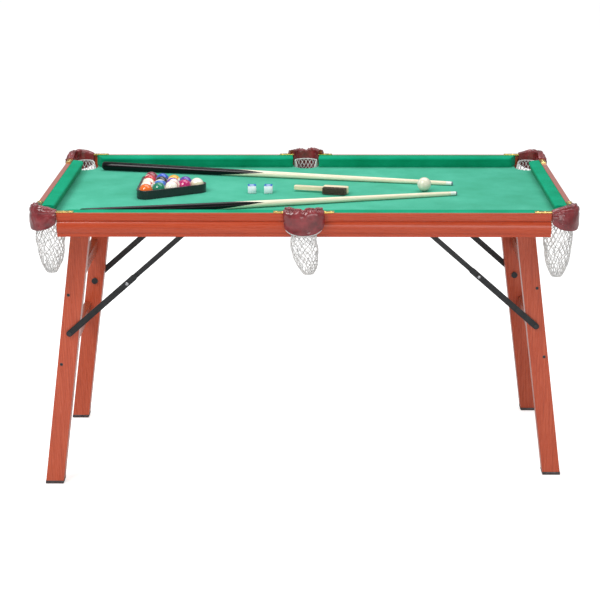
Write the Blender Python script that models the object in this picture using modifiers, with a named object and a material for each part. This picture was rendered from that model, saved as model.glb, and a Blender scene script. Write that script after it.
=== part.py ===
"""Mini pool table: a cloth-covered bed with six net pockets, on two leg frames that fold in under the bed.

Metres, +Z up. +X runs along the table, -Y is its front, and the origin is on the floor under its centre.
"""

import math

import bmesh
import bpy
from mathutils import Matrix, Vector

# Table body
HALF_LENGTH = 0.690
HALF_WIDTH = 0.370
RAIL_TOP = 0.771
APRON_BOTTOM = 0.7095
BED_TOP = 0.741
GAP = 0.0003

# Bed
CLOTH_THICKNESS = 0.0015
BOARD_THICKNESS = 0.012
BOARD_BOTTOM = BED_TOP - CLOTH_THICKNESS - GAP - BOARD_THICKNESS

# Aprons
SIDE_APRON_THICKNESS = 0.008
END_APRON_THICKNESS = 0.014
SIDE_APRON_HALF = 0.6236
NOTCH_CUTTER_REACH = 0.02
NOTCH_CUTTER_RISE = 0.01
END_APRON_HALF = 0.2895
APRON_NOTCH_HALF = 0.0375
APRON_NOTCH_BOTTOM = 0.7185
# (distance outwards, height) down an apron's face: a flat band, a groove, a swelling and a foot
APRON_FACE = (
    (0.0, RAIL_TOP),
    (0.0, 0.7525),
    (-0.0028, 0.7505),
    (-0.0028, 0.7490),
    (0.0005, 0.7470),
    (0.0030, 0.7410),
    (0.0038, 0.7340),
    (0.0028, 0.7260),
    (0.0005, 0.7200),
    (-0.0018, 0.7185),
    (-0.0018, APRON_BOTTOM),
)
BED_HALF_LENGTH = HALF_LENGTH - END_APRON_THICKNESS - GAP
BED_HALF_WIDTH = HALF_WIDTH - SIDE_APRON_THICKNESS - GAP

# Cushioned rails
SIDE_NOSE = 0.322
END_NOSE = 0.6435
NOSE_UNDERCUT = 0.009
# (distance behind the nose, height from the rail's top), from the flat top down the nose
NOSE_FACE = ((0.006, 0.0), (0.002, -0.0012), (0.0, -0.0035), (0.0, -0.0065), (0.0015, -0.0095))
# Each rail end as (place at the nose, place at the back)
RAIL_AT_MIDDLE = (0.036, 0.0412)
RAIL_AT_CORNER = (0.5985, 0.6155)
END_RAIL_AT_CORNER = (0.2745, 0.2865)

# Pockets
CORNER_X = 0.648
CORNER_Y = 0.325
IRON_RADIUS = 0.0355
IRON_WIDTH = 0.014
IRON_THICKNESS = 0.003
IRON_BOTTOM = RAIL_TOP + GAP
IRON_TOP = IRON_BOTTOM + IRON_THICKNESS
IRON_SIDE_END = 0.5816
IRON_END_END = 0.245
MIDDLE_IRON_END = 0.0767
MIDDLE_HALF_CHORD = 0.042
MIDDLE_BULGE = 0.0255
LEATHER_TOP = 0.789
LEATHER_END_TOP = 0.7775
LEATHER_INNER_BOTTOM = 0.7585
LEATHER_INNER_GAP = 0.0003
LEATHER_INNER_WALL = 0.0012
CORNER_LEATHER_STEPS = 6
ROLL_INNER_DROP = 0.0012
ROLL_OUTER_DROP = 0.0008
SKIRT_BACK = 0.0010
# (distance outside the iron, share of the drop) down the skirt's outer face
SKIRT_FACE = ((0.0070, 0.15), (0.0085, 0.40), (0.0085, 0.75))
SKIRT_FOOT = (0.0065, 0.0035)
CORNER_TOP_POWER = 0.8
CORNER_BOTTOM_POWER = 0.6
SHIELD_POWER = 0.8
LEATHER_BOTTOM = 0.7235
LEATHER_END_BOTTOM = 0.750
MIDDLE_LEATHER_TOP = 0.786
MIDDLE_LEATHER_BOTTOM = 0.720
MIDDLE_LEATHER_END_BOTTOM = 0.745
SHIELD_POINTS = (6, 7, 8, 9, 10, 11, 12)
SHIELD_OUTER = (0.0500, 0.3788, 0.0205)
SHIELD_INNER = (0.0465, 0.3748, 0.0185)
CORNER_HOLE_RADIUS = 0.0375
MIDDLE_HOLE_RADIUS = 0.0375
MIDDLE_HOLE_Y = 0.352
NET_WALL = 0.0014
NET_TOP = 0.7575
NET_STEPS = 16
NET_BOTTOMS = {
    "front_left": 0.602,
    "front_middle": 0.611,
    "front_right": 0.592,
    "back_left": 0.600,
    "back_middle": 0.603,
    "back_right": 0.598,
}
NET_FULL_BOTTOM = 0.595
NET_NECK = 0.712
NET_FLOOR_INSET = 0.002
# The longest corner bag, as (height, half width, half depth)
CORNER_NET = (
    (NET_TOP, 0.0290, 0.0290),
    (BED_TOP, 0.0315, 0.0315),
    (0.715, 0.0375, 0.0350),
    (0.690, 0.0375, 0.0355),
    (0.655, 0.0335, 0.0325),
    (0.630, 0.0275, 0.0265),
    (0.610, 0.0190, 0.0185),
    (NET_FULL_BOTTOM, 0.0110, 0.0110),
)
# The longest middle bag, as (height, centre x, centre y, half width, half depth)
MIDDLE_NET = (
    (NET_TOP, 0, 0.3500, 0.0335, 0.0265),
    (BED_TOP, 0, 0.3520, 0.0335, 0.0285),
    (0.7240, 0, 0.3670, 0.0325, 0.0240),
    (0.7195, 0, 0.3840, 0.0325, 0.0084),
    (0.7100, 0.000, 0.3842, 0.0330, 0.0086),
    (0.680, 0.002, 0.3770, 0.0355, 0.0215),
    (0.650, 0.005, 0.3755, 0.0325, 0.0235),
    (0.625, 0.009, 0.3750, 0.0265, 0.0210),
    (0.608, 0.011, 0.3750, 0.0190, 0.0160),
    (NET_FULL_BOTTOM, 0.012, 0.3750, 0.0100, 0.0100),
)

# Leg frames
PIVOT_X = 0.579
PIVOT_Z = 0.695
FOOT_X = 0.675
SPLAY = math.atan2(FOOT_X - PIVOT_X, PIVOT_Z)
LEG_WIDTH = 0.0475
LEG_DEPTH = 0.038
PIVOT_HOLE_RADIUS = 0.0046
PIVOT_PIN_RADIUS = 0.0040
LEG_FRAMES = {"left": (-1, -0.286, 0.254), "right": (1, -0.216, 0.324)}
STRETCHERS = {"upper": 0.167, "lower": 0.360}
STRETCHER_HEIGHT = 0.044
STRETCHER_THICKNESS = 0.020
BEAM_HALF = 0.020
BEAM_LOW = -0.0155
BOLT_STANDOFF = 0.0045
BOLT_OVERRUN = 0.012
BOLT_HEAD_RADIUS = 0.0085

# Folding braces
BRACE_ON_LEG = 0.2705
BRACKET_X = 0.290
BRACKET_Z = 0.715
LOWER_LINK = 0.2075
LOWER_LINK_WIDTH = 0.0165
LOWER_LINK_OVERRUN = 0.025
UPPER_LINK_WIDTH = 0.0135
LINK_THICKNESS = 0.0025
LINK_CLEARANCE = 0.0005
BRACE_PIN_RADIUS = 0.0032
BRACE_HOLE_RADIUS = 0.0038
NUT_RADIUS = 0.009
NUT_THICKNESS = 0.006
PIN_END_INSET = 0.001
PIN_HEAD_RADIUS = 0.0055
RIVET_RADIUS = 0.0048
HEAD_HEIGHT = 0.002
EAR_HALF = 0.0085
EAR_LOW = -0.0075
EAR_THICKNESS = 0.003
FLANGE_HALF = 0.015
FLANGE_REACH = 0.020
FLANGE_THICKNESS = 0.0025
PIN_PROUD = 0.0001

# Loose playing set, lying on the bed
BALL_RADIUS = 0.019
RACK_X = -0.384
RACK_Y = 0.009
RACK_WALL = 0.005
RACK_HEIGHT = 0.024
RACK_CLEARANCE = 0.0012
WEB_RADIUS = 0.006
WEB_THICKNESS = 0.003
WEB_LIFT = 0.0007
RACK_TURN = math.radians(8)
CUE_FAR = ((-0.5907, 0.2896), (0.4114, 0.0841))
CUE_NEAR = ((-0.5756, -0.2998), (0.4128, -0.0364))
CUE_BUTT_RADIUS = 0.0122
CUE_TIP_RADIUS = 0.0052
# (radius, distance from the butt), then (radius beyond the tip's, distance from the tip)
CUE_BUTT = ((0.0088, 0), (0.0118, 0.004), (CUE_BUTT_RADIUS, 0.03), (0.0097, 0.36), (0.0078, 0.62))
CUE_POINT = ((0.0006, 0.03), (0.0002, 0.008), (-0.0006, 0.002))
CHALK_SIDE = 0.0225
CHALK_EDGE = 0.0008
# Each chalk's place on the bed, and its turn in degrees
CHALKS = {"chalk_left": (-0.1445, -0.007, 4), "chalk_right": (-0.0994, -0.0068, -3)}
CUE_BALL_AT = (0.3269, 0.0166)
BRUSH_AT = (-0.030, 0.0138)
BRUSH_ANGLE = math.radians(-14)
BRUSH_LENGTH = 0.152
BRUSH_HEAD_START = 0.083
BRUSH_HEAD_LOW = (BRUSH_HEAD_START, -0.004, 0)
BRUSH_HEAD_HIGH = (BRUSH_LENGTH, 0.012, 0.021)
BRISTLES_LOW = (BRUSH_HEAD_START + 0.001, -0.024, 0.0015)
BRISTLES_HIGH = (BRUSH_LENGTH - 0.001, 0, 0.0195)
# The handle's middle line as (y, z), and its girth as (distance from its end, radius)
BRUSH_HANDLE_LINE = (0.005, 0.010)
BRUSH_HANDLE = ((0, 0.0030), (0.004, 0.0062), (0.020, 0.0078), (0.060, 0.0060), (0.087, 0.0072))
BRUSH_HANDLE_SIDES = 10

ROUND_STEPS = 12
WELD_DISTANCE = 0.00005

collections = {}


def clear_scene():
    for found in list(bpy.data.objects):
        bpy.data.objects.remove(found, do_unlink=True)


def make_collections():
    for name in ("mini_pool_table", "cutters"):
        made = bpy.data.collections.new(name)
        bpy.context.scene.collection.children.link(made)
        collections[name] = made
    collections["cutters"].hide_render = True


def material(name, colour, roughness, metallic=0.0):
    made = bpy.data.materials.new(name)
    made.use_nodes = True
    shader = made.node_tree.nodes["Principled BSDF"]
    shader.inputs["Base Color"].default_value = (*colour, 1.0)
    shader.inputs["Roughness"].default_value = roughness
    shader.inputs["Metallic"].default_value = metallic
    return made


def make_materials():
    looks = {
        "green_cloth": ((0.05, 0.36, 0.22), 0.95, 0.0),
        "cherry_wood": ((0.45, 0.09, 0.035), 0.40, 0.0),
        "leg_wood": ((0.40, 0.10, 0.045), 0.45, 0.0),
        "bare_board": ((0.50, 0.36, 0.22), 0.85, 0.0),
        "pocket_leather": ((0.16, 0.035, 0.045), 0.35, 0.0),
        "net_cord": ((0.85, 0.85, 0.85), 0.90, 0.0),
        "brass": ((0.78, 0.55, 0.14), 0.25, 1.0),
        "black_steel": ((0.03, 0.03, 0.032), 0.45, 0.6),
        "black_plastic": ((0.012, 0.012, 0.014), 0.35, 0.0),
        "ball_resin": ((0.55, 0.12, 0.08), 0.10, 0.0),
        "cue_ball_resin": ((0.88, 0.84, 0.72), 0.10, 0.0),
        "maple": ((0.76, 0.60, 0.38), 0.35, 0.0),
        "chalk_block": ((0.10, 0.30, 0.60), 0.95, 0.0),
        "brush_wood": ((0.72, 0.55, 0.33), 0.45, 0.0),
    }
    return {name: material(name, *look) for name, look in looks.items()}


def place(obj, look, location=(0, 0, 0), rotation=(0, 0, 0), parent=None):
    collections["mini_pool_table"].objects.link(obj)
    obj.location = location
    obj.rotation_euler = rotation
    obj.parent = parent
    obj.data.materials.append(looks[look])
    return obj


def mesh_from(name, bm):
    bmesh.ops.recalc_face_normals(bm, faces=bm.faces)
    mesh = bpy.data.meshes.new(name)
    bm.to_mesh(mesh)
    bm.free()
    return mesh


def smooth(obj, degrees=35):
    obj.data.shade_smooth()
    obj.data.set_sharp_from_angle(angle=math.radians(degrees))
    return obj


def loft(name, rings):
    """A closed solid through rings of equal point counts, with flat ends."""
    bm = bmesh.new()
    rows = [[bm.verts.new(point) for point in ring] for ring in rings]
    count = len(rows[0])
    for row, following in zip(rows, rows[1:]):
        for i in range(count):
            j = (i + 1) % count
            bm.faces.new((row[i], row[j], following[j], following[i]))
    bm.faces.new(rows[0])
    bm.faces.new(rows[-1])
    return bpy.data.objects.new(name, mesh_from(name, bm))


def plate(name, outlines, thickness):
    """A flat outline, with any inner outlines as holes, in the local XY plane."""
    curve = bpy.data.curves.new(name, "CURVE")
    curve.dimensions = "2D"
    curve.fill_mode = "BOTH"
    curve.extrude = thickness / 2
    for outline in outlines:
        spline = curve.splines.new("POLY")
        spline.points.add(len(outline) - 1)
        spline.use_cyclic_u = True
        for point, (x, y) in zip(spline.points, outline):
            point.co = (x, y, 0, 1)
    return bpy.data.objects.new(name, curve)


def as_mesh(obj):
    """The curve object made a welded mesh object, so that it can take a Boolean."""
    name = obj.name
    scene_objects = bpy.context.scene.collection.objects
    scene_objects.link(obj)
    graph = bpy.context.evaluated_depsgraph_get()
    mesh = bpy.data.meshes.new_from_object(obj.evaluated_get(graph))
    curve = obj.data
    bpy.data.objects.remove(obj, do_unlink=True)
    bpy.data.curves.remove(curve)
    bm = bmesh.new()
    bm.from_mesh(mesh)
    bmesh.ops.remove_doubles(bm, verts=bm.verts, dist=1e-6)
    bpy.data.meshes.remove(mesh)
    return bpy.data.objects.new(name, mesh_from(name, bm))


def block(name, low, high):
    bm = bmesh.new()
    size = [b - a for a, b in zip(low, high)]
    middle = [(a + b) / 2 for a, b in zip(low, high)]
    bmesh.ops.create_cube(bm, size=1)
    bmesh.ops.scale(bm, vec=size, verts=bm.verts)
    bmesh.ops.translate(bm, vec=middle, verts=bm.verts)
    return bpy.data.objects.new(name, mesh_from(name, bm))


def rod(name, radius, start, end, steps=ROUND_STEPS):
    """A cylinder along Y, from start to end, about the local origin."""
    bm = bmesh.new()
    bmesh.ops.create_cone(
        bm, cap_ends=True, segments=steps, radius1=radius, radius2=radius, depth=abs(end - start)
    )
    turn = Vector((0, 0, 1)).rotation_difference(Vector((0, 1, 0))).to_matrix()
    bmesh.ops.rotate(bm, cent=(0, 0, 0), matrix=turn, verts=bm.verts)
    bmesh.ops.translate(bm, vec=(0, (start + end) / 2, 0), verts=bm.verts)
    return bpy.data.objects.new(name, mesh_from(name, bm))


def boolean(obj, helper, operation, location=(0, 0, 0), rotation=(0, 0, 0), parent=None):
    collections["cutters"].objects.link(helper)
    helper.location = location
    helper.rotation_euler = rotation
    helper.parent = parent
    helper.hide_render = True
    helper.display_type = "WIRE"
    modifier = obj.modifiers.new(operation.title(), "BOOLEAN")
    modifier.operation = operation
    modifier.solver = "EXACT"
    modifier.object = helper


def circle(x, y, radius, steps=ROUND_STEPS):
    turns = [2 * math.pi * i / steps for i in range(steps)]
    return [(x + radius * math.cos(t), y + radius * math.sin(t)) for t in turns]


def arc(x, y, radius, start, end, steps):
    """Points of an arc, with its two angles in degrees."""
    turns = [math.radians(start + (end - start) * i / steps) for i in range(steps + 1)]
    return [(x + radius * math.cos(t), y + radius * math.sin(t)) for t in turns]


def pivot(name, location, rotation=(0, 0, 0), parent=None):
    empty = bpy.data.objects.new(name, None)
    collections["mini_pool_table"].objects.link(empty)
    empty.location = location
    empty.rotation_euler = rotation
    empty.parent = parent
    return empty


# Bed


def bed_outline(half_length, half_width):
    """The bed seen from above, notched round the six pockets."""
    corner = CORNER_HOLE_RADIUS
    quarter = [(half_length, CORNER_Y - corner)]
    quarter += arc(CORNER_X, CORNER_Y, corner, -90, -180, 6)
    quarter.append((CORNER_X - corner, half_width))
    middle_reach = math.sqrt(MIDDLE_HOLE_RADIUS**2 - (half_width - MIDDLE_HOLE_Y) ** 2)
    lift = math.degrees(math.atan2(half_width - MIDDLE_HOLE_Y, middle_reach))
    middle = arc(0, MIDDLE_HOLE_Y, MIDDLE_HOLE_RADIUS, lift, -180 - lift, 12)
    back = quarter + middle
    back += [(-x, y) for x, y in reversed(quarter)]
    front = [(-x, -y) for x, y in back]
    return back + front


def make_bed():
    board = plate("playfield_board", [bed_outline(BED_HALF_LENGTH, BED_HALF_WIDTH)], BOARD_THICKNESS)
    place(board, "bare_board", (0, 0, BOARD_BOTTOM + BOARD_THICKNESS / 2))
    cloth = plate("bed_cloth", [bed_outline(BED_HALF_LENGTH, BED_HALF_WIDTH)], CLOTH_THICKNESS)
    place(cloth, "green_cloth", (0, 0, BED_TOP - CLOTH_THICKNESS / 2))


# Aprons and cushioned rails


def apron_section(outer, thickness):
    """(distance outwards, height) round an apron."""
    outside = [(outer + out, z) for out, z in APRON_FACE]
    inside = [(outer - thickness, APRON_BOTTOM), (outer - thickness, RAIL_TOP)]
    return outside + inside


def make_aprons():
    for name, side in (("apron_front", -1), ("apron_back", 1)):
        section = apron_section(HALF_WIDTH, SIDE_APRON_THICKNESS)
        ends = (-SIDE_APRON_HALF, SIDE_APRON_HALF)
        apron = loft(name, [[(x, side * y, z) for y, z in section] for x in ends])
        low = (-APRON_NOTCH_HALF, side * HALF_WIDTH - NOTCH_CUTTER_REACH, APRON_NOTCH_BOTTOM)
        high = (APRON_NOTCH_HALF, side * HALF_WIDTH + NOTCH_CUTTER_REACH, RAIL_TOP + NOTCH_CUTTER_RISE)
        boolean(apron, block(name + "_notch", low, high), "DIFFERENCE")
        place(apron, "cherry_wood")
    for name, side in (("apron_left", -1), ("apron_right", 1)):
        section = apron_section(HALF_LENGTH, END_APRON_THICKNESS)
        ends = (-END_APRON_HALF, END_APRON_HALF)
        apron = loft(name, [[(side * x, y, z) for x, z in section] for y in ends])
        place(apron, "cherry_wood")


def rail_section(nose, outer):
    """(distance from the table's middle, height) round a rail: flat top, blunt nose, face cut back below."""
    bottom = BED_TOP + GAP
    face = [(nose + behind, RAIL_TOP + rise) for behind, rise in NOSE_FACE]
    return [(outer, RAIL_TOP)] + face + [(nose + NOSE_UNDERCUT, bottom), (outer, bottom)]


def rail(name, section, start, end, along_x):
    """A rail whose ends are cut at an angle: start and end give (place at the nose, place at the back)."""
    nose, outer = section[4][0], section[0][0]
    rings = []
    for at_nose, at_back in (start, end):
        ring = []
        for across, z in section:
            share = (abs(across) - abs(nose)) / (abs(outer) - abs(nose))
            along = at_nose + (at_back - at_nose) * share
            ring.append((along, across, z) if along_x else (across, along, z))
        rings.append(ring)
    place(loft(name, rings), "green_cloth")


def make_rails():
    side_section = rail_section(SIDE_NOSE, BED_HALF_WIDTH)
    for row, y_side in (("front", -1), ("back", 1)):
        section = [(y_side * y, z) for y, z in side_section]
        for column, x_side in (("left", -1), ("right", 1)):
            middle = [x_side * x for x in RAIL_AT_MIDDLE]
            corner = [x_side * x for x in RAIL_AT_CORNER]
            rail(f"cushion_{row}_{column}", section, middle, corner, True)
    end_section = rail_section(END_NOSE, BED_HALF_LENGTH)
    low_end = [-y for y in END_RAIL_AT_CORNER]
    for column, x_side in (("left", -1), ("right", 1)):
        section = [(x_side * x, z) for x, z in end_section]
        rail(f"cushion_{column}", section, low_end, END_RAIL_AT_CORNER, False)


# Pockets


def corner_path(offset, steps=8):
    """The line of a corner iron, moved outwards by offset, from the side rail round to the end rail."""
    radius = IRON_RADIUS + offset
    side_y = CORNER_Y + radius
    end_x = CORNER_X + radius
    turn = arc(CORNER_X, CORNER_Y, radius, 90, 0, steps)
    return side_y, end_x, turn


def iron_corner_outline():
    half = IRON_WIDTH / 2
    outer_y, outer_x, outer_turn = corner_path(half)
    inner_y, inner_x, inner_turn = corner_path(-half)
    outside = [(IRON_SIDE_END, outer_y)] + outer_turn + [(outer_x, IRON_END_END)]
    inside = [(inner_x, IRON_END_END)] + inner_turn[::-1] + [(IRON_SIDE_END, inner_y)]
    return outside + inside


def middle_arc(offset, steps=12):
    """The bulging part of a middle pocket iron, moved outwards by offset."""
    base = CORNER_Y + IRON_RADIUS
    radius = (MIDDLE_HALF_CHORD**2 + MIDDLE_BULGE**2) / (2 * MIDDLE_BULGE)
    centre_y = base + MIDDLE_BULGE - radius
    reach = math.degrees(math.asin(MIDDLE_HALF_CHORD / radius))
    return arc(0, centre_y, radius + offset, 90 + reach, 90 - reach, steps)


def iron_middle_outline():
    half = IRON_WIDTH / 2
    base = CORNER_Y + IRON_RADIUS
    end = MIDDLE_IRON_END
    outer = [p for p in middle_arc(half) if p[1] > base + half]
    inner = [p for p in middle_arc(-half) if p[1] > base - half]
    outside = [(-end, base + half)] + outer + [(end, base + half)]
    inside = [(end, base - half)] + inner[::-1] + [(-end, base - half)]
    return outside + inside


def make_irons():
    for row, y_side in (("front", -1), ("back", 1)):
        for column, x_side in (("left", -1), ("right", 1)):
            outline = [(x_side * x, y_side * y) for x, y in iron_corner_outline()]
            iron = plate(f"pocket_iron_{row}_{column}", [outline], IRON_THICKNESS)
            place(iron, "brass", (0, 0, (IRON_BOTTOM + IRON_TOP) / 2))
        outline = [(x, y_side * y) for x, y in iron_middle_outline()]
        iron = plate(f"pocket_iron_{row}_middle", [outline], IRON_THICKNESS)
        place(iron, "brass", (0, 0, (IRON_BOTTOM + IRON_TOP) / 2))


def leather_section(top, bottom):
    """(distance outwards from the iron's line, height) round a pocket leather.

    A thin inner skirt hangs inside the iron, a roll lies over it, and an outer skirt hangs outside it.
    """
    under = IRON_TOP + GAP
    half = IRON_WIDTH / 2
    inner = half + LEATHER_INNER_GAP
    drop = top - bottom
    return [
        (-inner, LEATHER_INNER_BOTTOM),
        (-inner - LEATHER_INNER_WALL, LEATHER_INNER_BOTTOM),
        (-inner - LEATHER_INNER_WALL, under),
        (-half, top - ROLL_INNER_DROP),
        (0.0, top),
        (half, top - ROLL_OUTER_DROP),
        *[(half + out, top - share * drop) for out, share in SKIRT_FACE],
        *[(half + out, bottom) for out in SKIRT_FOOT],
        (half + SKIRT_BACK, top - SKIRT_FACE[-1][1] * drop),
        (half + SKIRT_BACK, under),
        (-inner, under),
    ]


def corner_spot(run):
    """(x, y, outward x, outward y) of the corner iron's line, run metres on from the side apron's end."""
    side_run = CORNER_X - SIDE_APRON_HALF - GAP
    turn_run = math.pi / 2 * IRON_RADIUS
    if run < side_run:
        return SIDE_APRON_HALF + GAP + run, CORNER_Y + IRON_RADIUS, 0.0, 1.0
    if run > side_run + turn_run:
        return CORNER_X + IRON_RADIUS, CORNER_Y - (run - side_run - turn_run), 1.0, 0.0
    turn = math.pi / 2 * (1 - (run - side_run) / turn_run)
    out_x, out_y = math.cos(turn), math.sin(turn)
    return CORNER_X + IRON_RADIUS * out_x, CORNER_Y + IRON_RADIUS * out_y, out_x, out_y


def corner_leather(name, x_side, y_side):
    """A roll round the corner with a skirt outside it, low at both ends and full at the corner."""
    side_run = CORNER_X - SIDE_APRON_HALF - GAP
    turn_run = math.pi / 2 * IRON_RADIUS
    end_run = CORNER_Y - END_APRON_HALF - GAP
    runs = [0.0, side_run / 2]
    runs += [side_run + turn_run * i / CORNER_LEATHER_STEPS for i in range(CORNER_LEATHER_STEPS + 1)]
    runs += [side_run + turn_run + end_run / 2, side_run + turn_run + end_run]
    rings = []
    for run in runs:
        swell = max(0.0, math.sin(math.pi * run / runs[-1]))
        top = LEATHER_END_TOP + (LEATHER_TOP - LEATHER_END_TOP) * swell**CORNER_TOP_POWER
        bottom = LEATHER_END_BOTTOM - (LEATHER_END_BOTTOM - LEATHER_BOTTOM) * swell**CORNER_BOTTOM_POWER
        x, y, out_x, out_y = corner_spot(run)
        section = leather_section(top, bottom)
        rings.append([(x_side * (x + out * out_x), y_side * (y + out * out_y), z) for out, z in section])
    return smooth(place(loft(name, rings), "pocket_leather"), 60)


def middle_leather(name, y_side):
    """A roll along the iron's bulge, with a wider shield hanging in front of the apron."""
    line = middle_arc(0)
    beside = middle_arc(1)
    steps = len(line) - 1
    rings = []
    for i, (x, y) in enumerate(line):
        out_x, out_y = beside[i][0] - x, beside[i][1] - y
        angle = math.radians(180 - 180 * i / steps)
        sweep = max(0.0, math.sin(angle))
        fall = (MIDDLE_LEATHER_END_BOTTOM - MIDDLE_LEATHER_BOTTOM) * sweep**SHIELD_POWER
        section = leather_section(MIDDLE_LEATHER_TOP, MIDDLE_LEATHER_END_BOTTOM - fall)
        ring = []
        for k, (out, z) in enumerate(section):
            if k in SHIELD_POINTS:
                half_x, base_y, bulge = SHIELD_OUTER if k < SHIELD_POINTS[4] else SHIELD_INNER
                ring.append((half_x * math.cos(angle), y_side * (base_y + bulge * sweep), z))
            else:
                ring.append((x + out * out_x, y_side * (y + out * out_y), z))
        rings.append(ring)
    return smooth(place(loft(name, rings), "pocket_leather"), 60)


def make_leathers():
    for row, y_side in (("front", -1), ("back", 1)):
        corner_leather(f"pocket_leather_{row}_left", -1, y_side)
        middle_leather(f"pocket_leather_{row}_middle", y_side)
        corner_leather(f"pocket_leather_{row}_right", 1, y_side)


def net_ring(station, x_side, y_side, thinner, height=None):
    """A ring of points round a net at one station: (height, centre x, centre y, half width, half depth)."""
    z, x, y, half_x, half_y = station
    ring = []
    for i in range(NET_STEPS):
        turn = 2 * math.pi * i / NET_STEPS
        across = x + (half_x - thinner) * math.cos(turn)
        depth = y + (half_y - thinner) * math.sin(turn)
        ring.append((x_side * across, y_side * depth, z if height is None else height))
    return ring


def bag(name, stations, x_side, y_side):
    """A net bag with a closed bottom, open at the top."""
    outer = [net_ring(station, x_side, y_side, 0.0) for station in stations]
    inner = [net_ring(station, x_side, y_side, NET_WALL) for station in reversed(stations[:-1])]
    lowest = stations[-2]
    floor = net_ring(lowest, x_side, y_side, NET_WALL + NET_FLOOR_INSET, stations[-1][0] + NET_WALL)
    bm = bmesh.new()
    rows = [[bm.verts.new(p) for p in ring] for ring in outer]
    hollow = [[bm.verts.new(p) for p in ring] for ring in [floor] + inner]
    chain = hollow + rows
    for row, following in zip(chain, chain[1:]):
        for i in range(NET_STEPS):
            j = (i + 1) % NET_STEPS
            bm.faces.new((row[i], row[j], following[j], following[i]))
    bm.faces.new(rows[-1])
    bm.faces.new(hollow[0])
    made = bpy.data.objects.new(name, mesh_from(name, bm))
    return smooth(place(made, "net_cord"), 50)


def net_height(z, bottom):
    """A height of the longest bag, moved up for one that ends at bottom."""
    if z >= NET_NECK:
        return z
    return NET_NECK + (z - NET_NECK) * (NET_NECK - bottom) / (NET_NECK - NET_FULL_BOTTOM)


def net_stations(column, bottom):
    """A corner bag hangs straight. A middle one has its mouth in the bed and hangs outside the apron."""
    if column == "middle":
        return [(net_height(z, bottom), *rest) for z, *rest in MIDDLE_NET]
    return [(net_height(z, bottom), CORNER_X, CORNER_Y, half_x, half_y) for z, half_x, half_y in CORNER_NET]


def make_nets():
    for place_name, bottom in NET_BOTTOMS.items():
        row, column = place_name.split("_")
        y_side = -1 if row == "front" else 1
        x_side = -1 if column == "left" else 1
        bag(f"pocket_net_{place_name}", net_stations(column, bottom), x_side, y_side)


# Leg frames and braces


def leg_outline(turn):
    """A leg board about its pivot, in the leaning frame: round at the top, cut level with the floor."""
    half = LEG_WIDTH / 2
    top = arc(0, 0, half, 0, 180, 12)
    foot = []
    for x in (-half, half):
        foot.append((x, (x * math.sin(turn) - PIVOT_Z) / math.cos(turn)))
    return top + foot


def make_leg_frame(column):
    side, front_face, back_face = LEG_FRAMES[column]
    turn = -side * SPLAY
    lean = pivot(f"leg_pivot_{column}", (side * PIVOT_X, 0, PIVOT_Z), (0, turn, 0))
    holes = [circle(0, 0, PIVOT_HOLE_RADIUS), circle(0, -BRACE_ON_LEG, BRACE_HOLE_RADIUS)]
    for row, face, inward in (("front", front_face, 1), ("back", back_face, -1)):
        leg = plate(f"leg_{row}_{column}", [leg_outline(turn)] + holes, LEG_DEPTH)
        middle = face + inward * LEG_DEPTH / 2
        place(leg, "leg_wood", (0, middle, 0), (math.pi / 2, 0, 0), lean)
    start = front_face + LEG_DEPTH + GAP
    end = back_face - LEG_DEPTH - GAP
    edge = side * LEG_WIDTH / 2
    near = edge - side * STRETCHER_THICKNESS
    for name, drop in STRETCHERS.items():
        low = (min(edge, near), start, -drop - STRETCHER_HEIGHT / 2)
        high = (max(edge, near), end, -drop + STRETCHER_HEIGHT / 2)
        stretcher = block(f"stretcher_{name}_{column}", low, high)
        place(stretcher, "leg_wood", (0, 0, 0), (0, 0, 0), lean)
    make_pivot_beam(column, side, front_face, back_face)


def make_pivot_beam(column, side, front_face, back_face):
    """A beam under the bed between the two legs, with a bolt through each leg."""
    start = front_face + LEG_DEPTH + GAP
    end = back_face - LEG_DEPTH - GAP
    high_z = BOARD_BOTTOM - GAP - PIVOT_Z
    beam = block(f"pivot_beam_{column}", (-BEAM_HALF, start, BEAM_LOW), (BEAM_HALF, end, high_z))
    location = (side * PIVOT_X, 0, PIVOT_Z)
    for row, face, inward in (("front", front_face, 1), ("back", back_face, -1)):
        outside = face - inward * BOLT_STANDOFF
        clear = face - inward * LINK_CLEARANCE
        inside = face + inward * (LEG_DEPTH + BOLT_OVERRUN)
        bolt = rod(f"bolt_{row}_{column}", PIVOT_PIN_RADIUS, outside, inside)
        boolean(beam, bolt, "UNION", location)
        head = rod(f"bolt_head_{row}_{column}", BOLT_HEAD_RADIUS, outside, clear, 6)
        boolean(beam, head, "UNION", location)
    place(beam, "leg_wood", location)


def strap(length, width, overrun):
    """A flat link with round ends, from its pivot at the origin along +X."""
    half = width / 2
    first = arc(0, 0, half, 90, 270, 8)
    last = arc(length + overrun, 0, half, -90, 90, 8)
    return first + last


def brace_points(side):
    """The brace's pivots, as (x, z): on the leg, at the bed bracket, and the length of the upper link."""
    on_leg = Vector((PIVOT_X + BRACE_ON_LEG * math.sin(SPLAY), PIVOT_Z - BRACE_ON_LEG * math.cos(SPLAY)))
    bracket = Vector((BRACKET_X, BRACKET_Z))
    upper = (bracket - on_leg).length - LOWER_LINK
    rise = math.atan2(bracket.y - on_leg.y, on_leg.x - bracket.x)
    return (side * on_leg.x, on_leg.y), (side * bracket.x, bracket.y), upper, rise


def make_brace(row, column, face, inward):
    side = LEG_FRAMES[column][0]
    on_leg, bracket, upper_length, rise = brace_points(side)
    upper_y = face - inward * (LINK_CLEARANCE + LINK_THICKNESS / 2)
    lower_y = upper_y - inward * (LINK_THICKNESS + GAP)
    make_lower_link(row, column, on_leg, lower_y, face, inward, rise)
    make_upper_link(row, column, bracket, upper_y, upper_length, rise)
    make_bracket(row, column, bracket, upper_y, inward)


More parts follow.
